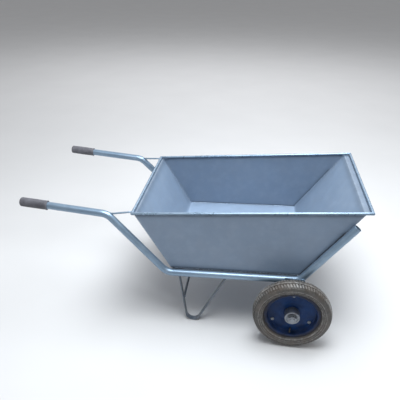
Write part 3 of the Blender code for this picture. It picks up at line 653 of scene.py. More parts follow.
def nearest(point, lines):
    """Distance in the side view from a point to the nearest of some stretches."""
    return min(line_distance(point, *line) for line in lines)


def sheet_wave(place, seed, mask):
    """How far a welded sheet is pulled out of flat here."""
    wave = noise.noise(place * DENT_SCALE + Vector((seed, 0, 0)))
    small = noise.noise(place * DENT_SCALE * 3.3 + Vector((0, seed, 0)))
    return SHEET_WAVE * mask * (wave + 0.3 * small)


def solidify(obj, offset):
    """Gives a bent sheet its thickness and eases its cut edges."""
    sheet = obj.modifiers.new("sheet", "SOLIDIFY")
    sheet.thickness = SHEET
    sheet.offset = offset
    sheet.use_even_offset = True
    ease = obj.modifiers.new("ease", "BEVEL")
    ease.width = SHEET * 0.28
    ease.segments = 2
    ease.limit_method = "ANGLE"
    ease.angle_limit = math.radians(60)


def wall_line(low_end, top_end):
    return low_end, top_end - low_end


def nook_distance(co):
    """Distance from the line along which the tray's side is welded to the tube beside it."""
    start = FLOOR_REAR + ALONG_FLOOR * NOOK_START
    top = FLOOR_FRONT.lerp(WALL_TOP_FRONT, 0.72)
    away = nearest(side_view(co), [(start, FLOOR_FRONT), (FLOOR_FRONT, top)])
    return math.hypot(away, max(0.0, abs(co.y) - SIDE_PLANE))


def build_tray_sides():
    """The two side sheets: rows run from the rear wall's edge to the front wall's edge."""
    rim = below((RIM_REAR, ALONG_RIM), RIM_ROD_RADIUS + FIT_GAP)
    rear_top = crossing(rim, wall_line(FLOOR_REAR, WALL_TOP_REAR))
    front_top = crossing(rim, wall_line(FLOOR_FRONT, WALL_TOP_FRONT))
    floor_middle = FLOOR_REAR.lerp(FLOOR_FRONT, 0.5)
    rear_edge = rounded_path([floor_middle, FLOOR_REAR, rear_top], [FOLD_RADIUS], 6)[1:]
    front_edge = rounded_path([floor_middle, FLOOR_FRONT, front_top], [FOLD_RADIUS], 6)[1:]
    wall_rows = 26
    shares = [(k / wall_rows) ** 1.5 for k in range(1, wall_rows)]
    rear_edge += [rear_edge[-2].lerp(rear_top, share) for share in shares]
    front_edge += [front_edge[-2].lerp(front_top, share) for share in shares]
    rear_edge.sort(key=lambda point: point.y)
    front_edge.sort(key=lambda point: point.y)
    folds = [(FLOOR_REAR, rear_top), (FLOOR_REAR, FLOOR_FRONT), (FLOOR_FRONT, front_top)]
    top_edge = (rear_top, front_top)
    columns = 56
    for side, sign in SIDES.items():
        bm = bmesh.new()
        rows = []
        for start, end in zip(rear_edge, front_edge):
            row = []
            for column in range(columns + 1):
                spot = start.lerp(end, column / columns)
                mask = min(1.0, nearest(spot, [*folds, top_edge]) / 0.06) ** 2
                place = upright(spot, sign * SIDE_PLANE)
                place.y += sheet_wave(place, 4 + sign, mask)
                row.append(place)
            rows.append(row)
        lofted(bm, rows, closed=False)
        obj = piece(f"tray_side_sheet_{side}", bm, "tray_paint", [f"tray_side_{side}"])
        mark(obj, "edge", lambda co: nearest(side_view(co), folds), SIDE_WEAR)
        # painted shade along the nook beside the tube
        mark(obj, "nook_shade", nook_distance, SHEET_NOOK_SHADE)
        # painted shade just under the rim bar
        mark(obj, "shade", lambda co: line_distance(side_view(co), *top_edge), RIM_SHADE)
        solidify(obj, 0)


def pan_path():
    """Lower face of the bent sheet, from the rear lip down, along the floor and up to the front lip."""
    lips = below((RIM_REAR, ALONG_RIM), RIM_ROD_RADIUS + FIT_GAP + SHEET)
    rear_fold = crossing(lips, wall_line(FLOOR_REAR, WALL_TOP_REAR))
    front_fold = crossing(lips, wall_line(FLOOR_FRONT, WALL_TOP_FRONT))
    corners = [point_at_x(lips, RIM_REAR.x), rear_fold, FLOOR_REAR]
    corners += [FLOOR_FRONT, front_fold, point_at_x(lips, RIM_FRONT.x)]
    radii = [LIP_FOLD_RADIUS, FOLD_RADIUS, FOLD_RADIUS, LIP_FOLD_RADIUS]
    return spaced(rounded_path(corners, radii, 6), 0.011), corners


def build_tray_pan():
    """Rear wall, floor and front wall in one sheet, bent and slightly bowed."""
    path, corners = pan_path()
    folds = corners[1:-1]
    columns = 48
    bm = bmesh.new()
    rows = []
    for spot, along in zip(path, courses(path)):
        fold = min((spot - corner).length for corner in folds)
        lip = min((spot - path[0]).length, (spot - path[-1]).length)
        row = []
        for column in range(columns + 1):
            y = PAN_HALF * (2 * column / columns - 1)
            mask = min(1.0, min(PAN_HALF - abs(y), fold, lip) / 0.05) ** 2
            place = upright(spot, y)
            row.append(place + upright(left_of(along), 0) * abs(sheet_wave(place, 9, mask)))
        rows.append(row)
    lofted(bm, rows, closed=False)
    obj = piece("tray_pan_sheet", bm, "tray_paint", ["tray_pan"], sharp=math.radians(60))

    def edge_distance(co):
        folded = min((side_view(co) - corner).length for corner in folds)
        return min(folded, PAN_HALF - abs(co.y))

    mark(obj, "edge", edge_distance, FOLD_WEAR)
    front, rear = corners[-2].x, corners[1].x
    # painted shade on the lips, which face the overhead light
    mark(obj, "shade", lambda co: max(0.0, min(front - co.x, co.x - rear)), LIP_SHADE)
    # lighter floor: polish from the load, and painted sheen
    mark(obj, "polish_and_sheen", lambda co: line_distance(side_view(co), FLOOR_REAR, FLOOR_FRONT), FLOOR_SHEEN)
    solidify(obj, 1)


def rim_bar(name, line, dome):
    """One length of the rim's bar, with painted shade along its underside."""

    def underside_distance(co):
        level = point_at_x((RIM_REAR, ALONG_RIM), co.x).y
        return max(0.0, co.z - level + RIM_ROD_RADIUS * 0.35)

    bm = bmesh.new()
    add_rod(bm, line, RIM_ROD_RADIUS, dome)
    obj = piece(f"rim_bar_{name}", bm, "rim_paint", [f"rim_rod_{name}"])
    # painted shade along the bar's lower half
    mark(obj, "shade", underside_distance, BAR_SHADE)


def build_rim():
    """Round bars around the tray's top, welded at its corners."""
    start = RIM_REAR - ALONG_RIM * RIM_ROD_RADIUS
    end = RIM_FRONT + ALONG_RIM * RIM_ROD_RADIUS
    for side, sign in SIDES.items():
        y = sign * SIDE_PLANE
        line = spaced([upright(start, y), upright(end, y)], 0.04)
        bow = [noise.noise(Vector((sign, i * 0.31, 7))) * 0.0006 for i in range(len(line))]
        line[1:-1] = [p + Vector((0, 0, b)) for p, b in zip(line[1:-1], bow[1:-1])]
        rim_bar(side, line, 0.75)
    reach = SIDE_PLANE - RIM_ROD_RADIUS * 0.5
    for name, corner in (("rear", RIM_REAR), ("front", RIM_FRONT)):
        rim_bar(name, crossbar(corner, reach, 0.04), 0.2)


# ---- Frame ----

CROSS_TUBES = ("rear_cross_tube", "middle_cross_tube")


def build_side_tubes():
    """Handle, riser, rail and upright, bent from one tube on each side."""
    radii = [HANDLE_BEND_RADIUS, REAR_BEND_RADIUS, FRONT_BEND_RADIUS]
    for side, sign in SIDES.items():
        corners = [upright(point, sign * HANDLE_HALF) for point in (HANDLE_END, HANDLE_BEND)]
        corners += [upright(point, sign * RAIL_HALF) for point in (REAR_BEND, FRONT_BEND, UPRIGHT_END)]
        bm = bmesh.new()
        add_pipe(bm, spaced(rounded_path(corners, radii, 12), 0.03), TUBE_RADIUS, TUBE_WALL)
        obj = piece(f"frame_tube_{side}", bm, "frame_paint", [f"side_tube_{side}"])
        # painted shade along the nook beside the tray
        mark(obj, "nook_shade", nook_distance, TUBE_NOOK_SHADE)


def build_cross_tubes():
    """The two tubes under the floor, from rail to rail."""
    for node in CROSS_TUBES:
        bm = bmesh.new()
        line = crossbar(side_view(middle(node)), high(node).y, 0.06)
        add_pipe(bm, line, CROSS_TUBE_RADIUS, TUBE_WALL, 32)
        piece(f"{node}_round", bm, "frame_paint", [node])


def stay_ends(sign):
    """Where a stay meets the handle's bend and the rim's rear corner."""
    bend = upright(HANDLE_BEND, sign * HANDLE_HALF)
    corner = upright(RIM_REAR, sign * (SIDE_PLANE - STAY_INSET))
    along = (corner - bend).normalized()
    return bend + along * TUBE_RADIUS, corner - along * RIM_ROD_RADIUS


def build_corner_stays():
    for side, sign in SIDES.items():
        start, end = stay_ends(sign)
        bm = bmesh.new()
        add_rod(bm, spaced([start, end], 0.02), STAY_RADIUS, 0.3, 20)
        piece(f"corner_stay_rod_{side}", bm, "frame_paint", [f"corner_stay_{side}"])


# ---- Legs ----


def tangent_point(point, centre, radius, turn):
    """Where the tangent from a point touches a circle; turn is 1 or -1 for the side."""
    offset = point - centre
    spread = math.acos(radius / offset.length)
    return centre + radius * direction(math.atan2(offset.y, offset.x) + turn * spread)


def leg_places():
    """The foot's centre, the rails' direction, and the ends of the V's two straight sides."""
    start, along = below(RAIL_LINE, TUBE_RADIUS + FIT_GAP + LEG_THICKNESS / 2)
    centre = Vector((FLOOR_REAR.x + LEG_FOOT, LEG_FOOT_RADIUS + LEG_THICKNESS / 2))
    rear_top = point_at_x((start, along), FLOOR_REAR.x + LEG_REAR_TOP)
    front_top = point_at_x((start, along), FLOOR_REAR.x + LEG_FRONT_TOP)
    rear_low = tangent_point(rear_top, centre, LEG_FOOT_RADIUS, 1)
    front_low = tangent_point(front_top, centre, LEG_FOOT_RADIUS, -1)
    return centre, along, rear_top, rear_low, front_top, front_low


def leg_path():
    """Middle of the bent flat bar, from its rear lap round the foot to its front lap."""
    centre, along, rear_top, rear_low, front_top, front_low = leg_places()
    lap = along * LEG_LAP
    upper_rear = rounded_path([rear_top - lap, rear_top, rear_low], [LEG_TOP_RADIUS], 6)
    upper_front = rounded_path([front_low, front_top, front_top + lap], [LEG_TOP_RADIUS], 6)
    start = math.atan2(*(rear_low - centre).yx)
    end = math.atan2(*(front_low - centre).yx)
    start -= 2 * math.pi if start > 0 else 0
    steps = 20
    turn = [start + (end - start) * k / steps for k in range(steps + 1)]
    foot = [centre + LEG_FOOT_RADIUS * direction(angle) for angle in turn]
    return spaced(upper_rear[:-1] + foot + upper_front[1:], 0.02)


def bar_section(half_width, half_thickness, ease):
    """A flat bar's section with its corners rounded."""
    points = []
    for across, thick, first in ((1, 1, 0), (-1, 1, 90), (-1, -1, 180), (1, -1, 270)):
        middle_point = Vector((across * (half_width - ease), thick * (half_thickness - ease)))
        points += [middle_point + ease * direction(math.radians(first + 30 * step)) for step in range(4)]
    return points


def build_legs():
    path = leg_path()
    section = bar_section(LEG_WIDTH / 2, LEG_THICKNESS / 2, 0.0009)
    for side, sign in SIDES.items():
        rows = []
        for spot, along in zip(path, courses(path)):
            places = [(spot + left_of(along) * thick, across) for across, thick in section]
            rows.append([Vector((p.x, sign * LEG_HALF + y, max(p.y, 0))) for p, y in places])
        bm = bmesh.new()
        lofted(bm, rows, caps=True)
        piece(f"leg_bar_{side}", bm, "frame_paint", [f"leg_{side}"], look=LEG_LOOK)
    bm = bmesh.new()
    line = crossbar(side_view(middle("leg_brace")), LEG_HALF - LEG_WIDTH / 2, 0.05)
    add_rod(bm, line, BRACE_RADIUS, 0.1)
    piece("leg_brace_rod", bm, "frame_paint", ["leg_brace"], look=LEG_LOOK)


# ---- Grips ----

GRIP_LENGTH = 0.131
GRIP_RADIUS = 0.0222
GRIP_BORE = TUBE_RADIUS + 0.0001
GRIP_END_RADIUS = 0.010
GRIP_END_WALL = 0.006
GRIP_RIBS = 34
RIB_DEPTH = 0.00055


def grip_profile():
    """(radius, distance from the mouth) down the outside of the sleeve and back up its bore."""
    profile = [(GRIP_BORE, 0.0), (GRIP_RADIUS - 0.0012, 0.0), (GRIP_RADIUS, 0.0012)]
    profile += [(GRIP_RADIUS, 0.0055), (GRIP_RADIUS - 0.0016, 0.0072)]
    body_start, body_end = 0.010, GRIP_LENGTH - GRIP_END_RADIUS - 0.004
    pitch = (body_end - body_start) / GRIP_RIBS
    for rib in range(GRIP_RIBS):
        base = body_start + (body_end - body_start) * rib / GRIP_RIBS
        radius = GRIP_RADIUS - 0.0011 + 0.0005 * math.sin(math.pi * rib / GRIP_RIBS)
        for share, depth in ((0.0, 0.0), (0.55, 0.0), (0.68, RIB_DEPTH), (0.88, RIB_DEPTH)):
            profile.append((radius - depth, base + pitch * share))
    profile.append((GRIP_RADIUS - 0.0008, body_end + 0.002))
    for step in range(9):
        angle = math.pi / 2 * step / 8
        radius = GRIP_RADIUS - 0.0008 - GRIP_END_RADIUS * (1 - math.cos(angle))
        profile.append((radius, GRIP_LENGTH - GRIP_END_RADIUS * (1 - math.sin(angle)) - 0.0008))
    return profile + [(0.006, GRIP_LENGTH - 0.0002), (0.001, GRIP_LENGTH)]


def build_grips():
    """Ribbed sleeves, closed at the handles' ends."""
    outward = direction(math.pi - HANDLE_ANGLE)
    bottom = GRIP_LENGTH - GRIP_END_WALL
    mouth = HANDLE_END - outward * (bottom - FIT_GAP)
    axis, upward = upright(outward, 0), upright(left_of(outward), 0)
    for side, sign in SIDES.items():
        rows = []
        for radius, distance in [(0.001, bottom), (GRIP_BORE, bottom), *grip_profile()]:
            centre = upright(mouth, sign * HANDLE_HALF) + axis * distance
            rows.append([centre + radius * (ACROSS * math.cos(a) + upward * math.sin(a)) for a in turns(48)])
        bm = bmesh.new()
        lofted(bm, rows, caps=True)
        piece(f"grip_sleeve_{side}", bm, "grip_rubber", [f"grip_{side}"], sharp=math.radians(50))


# ---- Axle and its brackets ----

AXLE_STEPS = 48
AXLE_CHAMFER = 0.0016
THREAD_LENGTH = 0.022
THREAD_PITCH = 0.0018
THREAD_DEPTH = 0.0009


def build_axle_plates():
    """Plates that stand on the rails' outer faces and narrow to the axle."""
    rail = point_at_x(RAIL_LINE, AXLE_X)
    top = high("axle_plate_left").z
    half = PLATE_WIDTH / 2
    centre = Vector((AXLE_X, AXLE_HEIGHT))
    shoulder = rail.y - TUBE_RADIUS
    corner = Vector((AXLE_X + half, shoulder))
    low_point = tangent_point(corner, centre, PLATE_FOOT_RADIUS, -1)
    angle = math.atan2(*(low_point - centre).yx)
    steps = 28
    sweep = [-math.pi - angle + (2 * angle + math.pi) * k / steps for k in range(steps + 1)]
    foot = [centre + PLATE_FOOT_RADIUS * direction(a) for a in sweep]
    left = AXLE_X - half
    ease = 0.004
    outline = [Vector((left + ease, top)), Vector((left, top - ease)), Vector((left, shoulder))]
    outline += foot + [corner, Vector((AXLE_X + half, top - ease)), Vector((AXLE_X + half - ease, top))]
    hole = [centre + (AXLE_RADIUS + 0.0002) * direction(a) for a in turns(40)]
    for side, sign in SIDES.items():
        bm = bmesh.new()
        flat_outline(bm, [outline, hole], sign * PLATE_PLANE, PLATE_THICKNESS)
        piece(f"axle_bracket_{side}", bm, "frame_paint", [f"axle_plate_{side}"])


def threaded_rows(start, end, place, outward):
    """Rings of the screw thread on the axle, from start to end along it."""
    count = math.ceil((end - start) / (THREAD_PITCH / 6))
    rows = []
    for row in range(count + 1):
        offset = start + (end - start) * row / count
        ring = []
        for step in range(AXLE_STEPS):
            turn = step / AXLE_STEPS
            phase = (offset / THREAD_PITCH - outward * turn) % 1
            radius = AXLE_RADIUS - THREAD_DEPTH * abs(2 * phase - 1)
            ring.append(spun(place, radius, 2 * math.pi * turn, outward * offset))
        rows.append(ring)
    return rows


def build_axle():
    """One bar through both wheels, threaded and chamfered at its ends."""
    reach = high("axle").y
    start = reach - THREAD_LENGTH
    centre = Vector((AXLE_X, 0, AXLE_HEIGHT))
    halves = []
    for outward in (-1, 1):
        plain = turned_rows([(AXLE_RADIUS, start - 0.001)], AXLE_STEPS, centre, outward)
        thread = threaded_rows(start, reach - AXLE_CHAMFER, centre, outward)
        tip = turned_rows([(AXLE_RADIUS - AXLE_CHAMFER, reach)], AXLE_STEPS, centre, outward)
        halves.append(plain + thread + tip)
    bm = bmesh.new()
    lofted(bm, halves[0][::-1] + halves[1], caps=True)
    piece("axle_bar", bm, "bare_steel", ["axle"])


def eased_ring(inner, outer, low_end, high_end, ease=0.0005):
    """Closed profile of a ring with its four corners rounded off."""
    low_face = [(inner + ease, low_end), (outer - ease, low_end)]
    outside = [(outer, low_end + ease), (outer, high_end - ease)]
    high_face = [(outer - ease, high_end), (inner + ease, high_end)]
    return low_face + outside + high_face + [(inner, high_end - ease), (inner, low_end + ease)]


def add_ring(bm, profile, steps, place, outward=1):
    lofted(bm, turned_rows(profile, steps, place, outward), around=True)


def add_hexagon(bm, flats, bore, low_end, high_end, place, outward, turn=0.0):
    """A nut, or a head where the bore is almost nothing, whose corners a 30 degree cone cuts."""
    reach = flats / 2
    slope = math.tan(math.radians(30))
    depth = (flats / math.sqrt(3) - reach) * slope
    rows = [[] for _ in range(5)]
    for angle in turns(72):
        away = reach / math.cos((angle - turn) % (math.pi / 3) - math.pi / 6)
        shoulder = high_end - (away - reach) * slope - depth * 0.15
        section = [(bore, low_end), (away, low_end), (away, shoulder)]
        section += [(reach * 0.96, high_end), (bore, high_end)]
        for row, (radius, offset) in zip(rows, section):
            row.append(spun(place, radius, angle, outward * offset))
    solid = bore < 0.0011
    lofted(bm, rows, around=not solid, caps=solid)


def span(node):
    """How far a node's two faces are from the middle of the barrow, the nearer first."""
    return sorted((abs(low(node).y), abs(high(node).y)))


def build_axle_hardware(side, sign):
    place = Vector((AXLE_X, 0, AXLE_HEIGHT))
    bore = AXLE_RADIUS + FIT_GAP
    for name in ("spacer", "washer", "nut"):
        node = f"axle_{name}_{side}"
        width = high(node).x - low(node).x
        bm = bmesh.new()
        if name == "nut":
            add_hexagon(bm, width, bore, *span(node), place, sign, math.radians(30))
        else:
            add_ring(bm, eased_ring(bore, width / 2, *span(node)), 64, place, sign)
        shape = "hex" if name == "nut" else "ring"
        piece(f"axle_{name}_{shape}_{side}", bm, "bare_steel", [node])


# ---- Wheels ----

WHEEL_STEPS = 160
DISC_MIDDLE = DISC_FACE + RIM_SHEET / 2
BOLT_FLATS = 0.013


def rim_line(disc, flange, outboard):
    """Middle of one rim half's sheet: pressed disc, barrel and rolled flange."""
    step = 0.0016 if outboard else 0.0
    middle_radius = BARREL_RADIUS + RIM_SHEET / 2
    corners = [
        Vector((HUB_RADIUS + FIT_GAP, disc + step)),
        Vector((0.050, disc + step)),
        Vector((0.056, disc)),
        Vector((middle_radius, disc)),
        Vector((middle_radius, flange)),
        Vector((FLANGE_RADIUS, flange)),
    ]
    fillet = min(0.009, abs(flange - disc) - 0.006)
    return rounded_path(corners, [0.008, 0.008, fillet, 0.004], 8)


def sheet_profile(line, thickness):
    """Closed profile around a middle line."""
    offsets = [left_of(along) * thickness / 2 for along in courses(line)]
    upper = [point + offset for point, offset in zip(line, offsets)]
    lower = [point - offset for point, offset in zip(line, offsets)]
    return [tuple(point) for point in upper + lower[::-1]]


def build_rims(side, sign, place, body):
    flange = RIM_HALF_WIDTH - RIM_SHEET / 2
    halves = {
        "outer": (DISC_MIDDLE, flange, True),
        "inner": (DISC_FACE - FIT_GAP - RIM_SHEET / 2, -flange, False),
    }
    for name, (disc, edge, outboard) in halves.items():
        profile = sheet_profile(rim_line(disc, edge, outboard), RIM_SHEET)
        bm = bmesh.new()
        add_ring(bm, profile, WHEEL_STEPS, place, sign)
        piece(f"rim_pressing_{name}_{side}", bm, "wheel_paint", [f"rim_{name}_{side}"], body)


def build_hub(side, sign, place, body):
    """A turned barrel with a bearing in each end, welded to both discs."""
    seat = BEARING_RADIUS + FIT_GAP
    bore = BEARING_RADIUS - 0.0025
    face = HUB_HALF - BEARING_RECESS
    shoulder = face - BEARING_WIDTH - 0.0006
    profile = [(HUB_RADIUS - 0.0010, -HUB_HALF), (HUB_RADIUS, -HUB_HALF + 0.0010)]
    profile += [(HUB_RADIUS, HUB_HALF - 0.0014), (HUB_RADIUS - 0.0014, HUB_HALF)]
    profile += [(seat + 0.0008, HUB_HALF), (seat, HUB_HALF - 0.0008), (seat, shoulder), (bore, shoulder)]
    profile += [(bore, -shoulder), (seat, -shoulder), (seat, -HUB_HALF)]
    bm = bmesh.new()
    add_ring(bm, profile, 96, place, sign)
    piece(f"hub_barrel_{side}", bm, "bare_steel", [f"hub_{side}"], body)
    inner = AXLE_RADIUS + FIT_GAP
    back, seal = face - BEARING_WIDTH, face - 0.0007
    ring = [(inner, face), (0.0162, face), (0.0166, seal), (0.0222, seal)]
    ring += [(0.0226, face), (BEARING_RADIUS, face), (BEARING_RADIUS, back), (inner, back)]
    for name, way in (("outer", 1), ("inner", -1)):
        bm = bmesh.new()
        add_ring(bm, [(radius, way * offset) for radius, offset in ring], 72, place, sign)
        piece(f"bearing_race_{name}_{side}", bm, "bare_steel", [f"bearing_{name}_{side}"], body)
    bm = bmesh.new()
    for level, seed in ((DISC_MIDDLE + 0.0034, 21), (DISC_FACE - 0.0042, 22)):
        angles = [*turns(60), 2 * math.pi]
        line = [spun(place, HUB_RADIUS + 0.0012, angle, sign * level) for angle in angles]
        add_bead(bm, line, 0.0022, seed, 0.004)
    piece(f"hub_weld_{side}", bm, "wheel_paint", (), body)


def build_rim_bolts(side, sign, body):
    """Hexagon heads with flanges outside the discs, and nuts inside."""
    seat = DISC_FACE + RIM_SHEET + FIT_GAP
    for number in (1, 2, 3):
        bolt, nut = f"rim_bolt_{side}_{number}", f"rim_nut_{side}_{number}"
        place = upright(side_view(middle(nut)), WHEEL_PLANE * sign)
        nut_low, nut_high = (away - WHEEL_PLANE for away in span(nut))
        bm = bmesh.new()
        add_hexagon(bm, BOLT_FLATS, 0.001, seat + 0.0012, seat + 0.0053, place, sign)
        add_ring(bm, eased_ring(0.004, 0.0084, seat, seat + 0.0012, 0.0003), 32, place, sign)
        stem = [(0.0034, nut_low - 0.003), (0.0040, nut_low - 0.0024), (0.0040, seat + 0.002)]
        lofted(bm, turned_rows(stem, 24, place, sign), caps=True)
        piece(f"rim_bolt_head_{side}_{number}", bm, "bare_steel", [bolt], body)
        bm = bmesh.new()
        add_hexagon(bm, BOLT_FLATS, 0.0042, -nut_high, -nut_low, place, -sign)
        piece(f"rim_nut_hex_{side}_{number}", bm, "bare_steel", [nut], body)


def build_valve(side, body):
    """Rubber stem with a ribbed cap, pointing at the axle."""
    node = f"valve_stem_{side}"
    centre, start, length = middle(node), high(node).z, high(node).z - low(node).z
    profile = [(0.0008, 0), (0.0040, 0), (0.0048, 0.0008)]
    for base in (0.0015 + rib * 0.0013 for rib in range(5)):
        profile += [(0.0048, base), (0.0048, base + 0.0006), (0.0043, base + 0.0008), (0.0043, base + 0.0011)]
    profile += [(0.0048, 0.0084), (0.0040, 0.009), (0.0028, 0.0092), (0.0028, 0.0125)]
    profile += [(0.0036, 0.0135), (0.0040, 0.017), (0.0040, length - 0.0004), (0.0008, length)]
    rows = []
    for radius, distance in profile:
        spot = Vector((centre.x, centre.y, start - distance))
        rows.append([spot + radius * Vector((math.cos(a), math.sin(a), 0)) for a in turns(28)])
    bm = bmesh.new()
    lofted(bm, rows, caps=True)
    piece(f"valve_{side}", bm, "butyl_rubber", [node], body)


# ---- Tyres ----

TREAD_HALF = 0.0245
TREAD_SHOULDER = 0.024
TREAD_DROP = 0.005
LUG_DEPTH = 0.0042
LUGS = 84
LUG_STEPS = (0.0, 0.10, 0.36, 0.62, 0.72, 0.86)
LUG_LAND = (0.0, 1.0, 1.0, 1.0, 0.0, 0.0)
# Moulded rings on the sidewall: radius, half width and height
SIDEWALL_RINGS = (
    (0.1345, 0.0030, 0.0026),
    (0.1430, 0.0022, 0.0020),
    (0.1510, 0.0022, 0.0018),
)


def crown(offset):
    """Radius of the tread's outer surface at an offset from its middle."""
    return WHEEL_RADIUS - TREAD_DROP * (offset / TREAD_SHOULDER) ** 2


def smooth_curve(points, steps):
    """A Catmull-Rom curve through the points."""
    padded = [points[0] * 2 - points[1]] + points + [points[-1] * 2 - points[-2]]
    result = []
    for a, b, c, d in zip(padded, padded[1:], padded[2:], padded[3:]):
        for step in range(steps):
            t = step / steps
            value = 2 * b + (c - a) * t + (2 * a - 5 * b + 4 * c - d) * t * t
            value += (3 * b - a - 3 * c + d) * t**3
            result.append(value / 2)
    return result + [points[-1]]


def ring_height(radius):
    """How far a moulded rib on the sidewall stands out at this radius."""
    height = 0.0
    for centre, width, rise in SIDEWALL_RINGS:
        share = abs(radius - centre) / width
        height = max(height, rise * max(0.0, 1 - max(0.0, share - 0.5) * 2))
    return height


def sidewall():
    """(radius, offset, lug share) from the tread's shoulder down to the bead, at the outer side."""
    knots = [(0.1728, 0.0250), (0.1690, 0.0300), (0.1630, 0.0334), (0.1525, 0.0349)]
    knots += [(0.1420, 0.0332), (0.1335, 0.0285), (0.1285, 0.0225), (0.1277, 0.0186)]
    rows = []
    for point in smooth_curve([Vector(knot) for knot in knots], 9):
        share = max(0.0, min(1.0, (point.x - 0.1655) / 0.005))
        rise = ring_height(point.x)
        # the raised rings are paler than the rest of the sidewall, a painted highlight on their tops
        rows.append((point.x, point.y + rise - 0.0012, share, 1.0 if rise > 0.0007 else 0.12))
    return rows


def tread():
    """(offset, lug share, rib share) across half of the tread, from its middle outwards."""
    rib = [(0.0, 0.0, 1.0), (0.0030, 0.0, 1.0), (0.0056, 0.0, 1.0)]
    groove = [(0.0062, 0.0, 0.0), (0.0082, 0.0, 0.0)]
    lugs = [(offset, 1.0, 0.0) for offset in (0.0088, 0.0130, 0.0175, 0.0215, TREAD_HALF)]
    return rib + groove + lugs


def zigzag(offset):
    """How far round, in lug pitches, the pattern has shifted at this offset."""
    share = min(abs(offset), TREAD_HALF) / 0.0082
    fold = abs((share + 1) % 2 - 1) if share < 1 else 1 - 0.6 * (share - 1) / 2
    return 0.5 * fold


def tyre_profile():
    """Rows from the inner bead over the tread to the outer bead and back inside."""
    outer = [(r, o, share * 0.0030, 1.0, 0.0, pale) for r, o, share, pale in sidewall()]
    half = [(crown(o), o, LUG_DEPTH * (1 - rib), lug, rib, 1.0) for o, lug, rib in tread()]
    bead = [(0.1277, 0.0180), (0.1145, 0.0180), (0.1145, 0.0092)]
    lining = [(0.130, 0.0120), (0.148, 0.0275), (0.166, 0.0205)]
    inside = [(r, o, 0.0, 1.0, 0.0, 0.2) for r, o in bead + lining]
    crown_inside = [(0.170, 0.0, 0.0, 1.0, 0.0, 0.2)]
    return mirrored(outer) + mirrored(half[1:]) + half + outer + inside + crown_inside + mirrored(inside)


def mirrored(rows):
    """The same rows on the other side of the tyre's middle, in reverse."""
    return [(radius, -offset, *rest) for radius, offset, *rest in rows[::-1]]


def build_tyre(side, sign, place, body):
    """An open carcass with zigzag lugs, ribbed sidewalls and two beads."""
    pitch = 2 * math.pi / LUGS
    bm = bmesh.new()
    land_layer = bm.verts.layers.float.new("land")
    rows, lands = [], []
    for radius, offset, depth, lug, rib, pale in tyre_profile():
        ring, land_row = [], []
        for number in range(LUGS):
            for share, land in zip(LUG_STEPS, LUG_LAND):
                angle = (number + share + zigzag(offset)) * pitch
                raised = rib + (1 - rib) * lug * land
                away = radius - depth * (1 - raised)
                inward = depth * (1 - raised) * 0.5 if abs(offset) > TREAD_HALF else 0.0
                level = offset - math.copysign(inward, offset)
                ring.append(spun(place, away, angle, sign * level))
                land_row.append(pale * (raised if depth > 0 else 1.0))
        rows.append(ring)
        lands.append(land_row)
    rings = lofted(bm, rows, around=True)
    for ring, land_row in zip(rings, lands):
        for vertex, land in zip(ring, land_row):
            vertex[land_layer] = land
    piece(f"tyre_tread_{side}", bm, "tyre_rubber", [f"tyre_{side}"], body, sharp=math.radians(48))


def build_wheel(side, sign):
    place = Vector((AXLE_X, sign * WHEEL_PLANE, AXLE_HEIGHT))
    body = f"wheel_{side}"
    build_axle_hardware(side, sign)
    build_hub(side, sign, place, body)
    build_rims(side, sign, place, body)
    build_rim_bolts(side, sign, body)
    build_valve(side, body)
    build_tyre(side, sign, place, body)
    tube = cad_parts[f"inner_tube_{side}"]
    tube.material_slots[0].material = LOOKS["butyl_rubber"]


# ---- Welds ----


def build_tray_seams():
    """Paint-filled seams inside the tray, where the pan meets the side sheets, in a lighter paint that is a
    painted highlight.
    """
    path, _ = pan_path()
    inside = [spot + left_of(along) * (SHEET + 0.0006) for spot, along in zip(path, courses(path))][3:-3]
    bm = bmesh.new()
    for sign in SIDES.values():
        line = [upright(spot, sign * (SIDE_INNER - 0.0006)) for spot in inside]
        add_bead(bm, line, 0.0027, 31 + sign, 0.006)
    piece("tray_seam_welds", bm, "tray_paint", (), look=SEAM_HIGHLIGHT_LOOK)


# The beads that fill the nook between the tray and the tube beside it, near black as painted shade in the
# nook
NOOK_OUT = 0.0042
NOOK_DROP = 0.0028
NOOK_BEAD = 0.0052
NOOK_END = 0.012
RIM_TACKS = 4
UPRIGHT_BEADS = ((0.016, 0.085), (0.120, 0.105), (0.245, 0.060))  # each one's start and length


def build_frame_welds():
    """Beads that hold the tubes to the tray, to each other and to the stays; the ones in the nooks are near
    black, painted shade.
    """
    bm = bmesh.new()
    shade_beads = bmesh.new()
    drop = left_of(ALONG_FLOOR) * NOOK_DROP
    along_upright = direction(UPRIGHT_ANGLE)
    out_of_upright = left_of(along_upright) * (TUBE_RADIUS - 0.0055)
    for sign in SIDES.values():
        seed = 50 + 20 * sign
        y = sign * (SIDE_PLANE + SHEET / 2 + NOOK_OUT)
        first = FLOOR_REAR + ALONG_FLOOR * NOOK_START - drop
        last = FLOOR_FRONT - ALONG_FLOOR * NOOK_END - drop
        add_bead(shade_beads, [upright(first, y), upright(last, y)], NOOK_BEAD, seed, 0.006)
        for number, (start, length) in enumerate(UPRIGHT_BEADS):
            first = FRONT_BEND + along_upright * start + out_of_upright
            line = [upright(first, y), upright(first + along_upright * length, y)]
            add_bead(shade_beads, line, NOOK_BEAD, seed + 5 + number, 0.006)
        start, end = stay_ends(sign)
        for spot, radius in ((start, 0.0050), (end, 0.0044)):
            add_collar(bm, spot, (end - start).normalized(), radius, 0.0021, seed + 9)
        for node in CROSS_TUBES:
            spot = upright(side_view(middle(node)), sign * high(node).y * 0.9985)
            add_collar(bm, spot, ACROSS, CROSS_TUBE_RADIUS, 0.0026, seed + 10)
    piece("frame_welds", bm, "frame_paint", (), look=WELD_LOOK)
    piece("nook_welds_painted_shade", shade_beads, "frame_paint", (), look=NOOK_SHADE_LOOK)


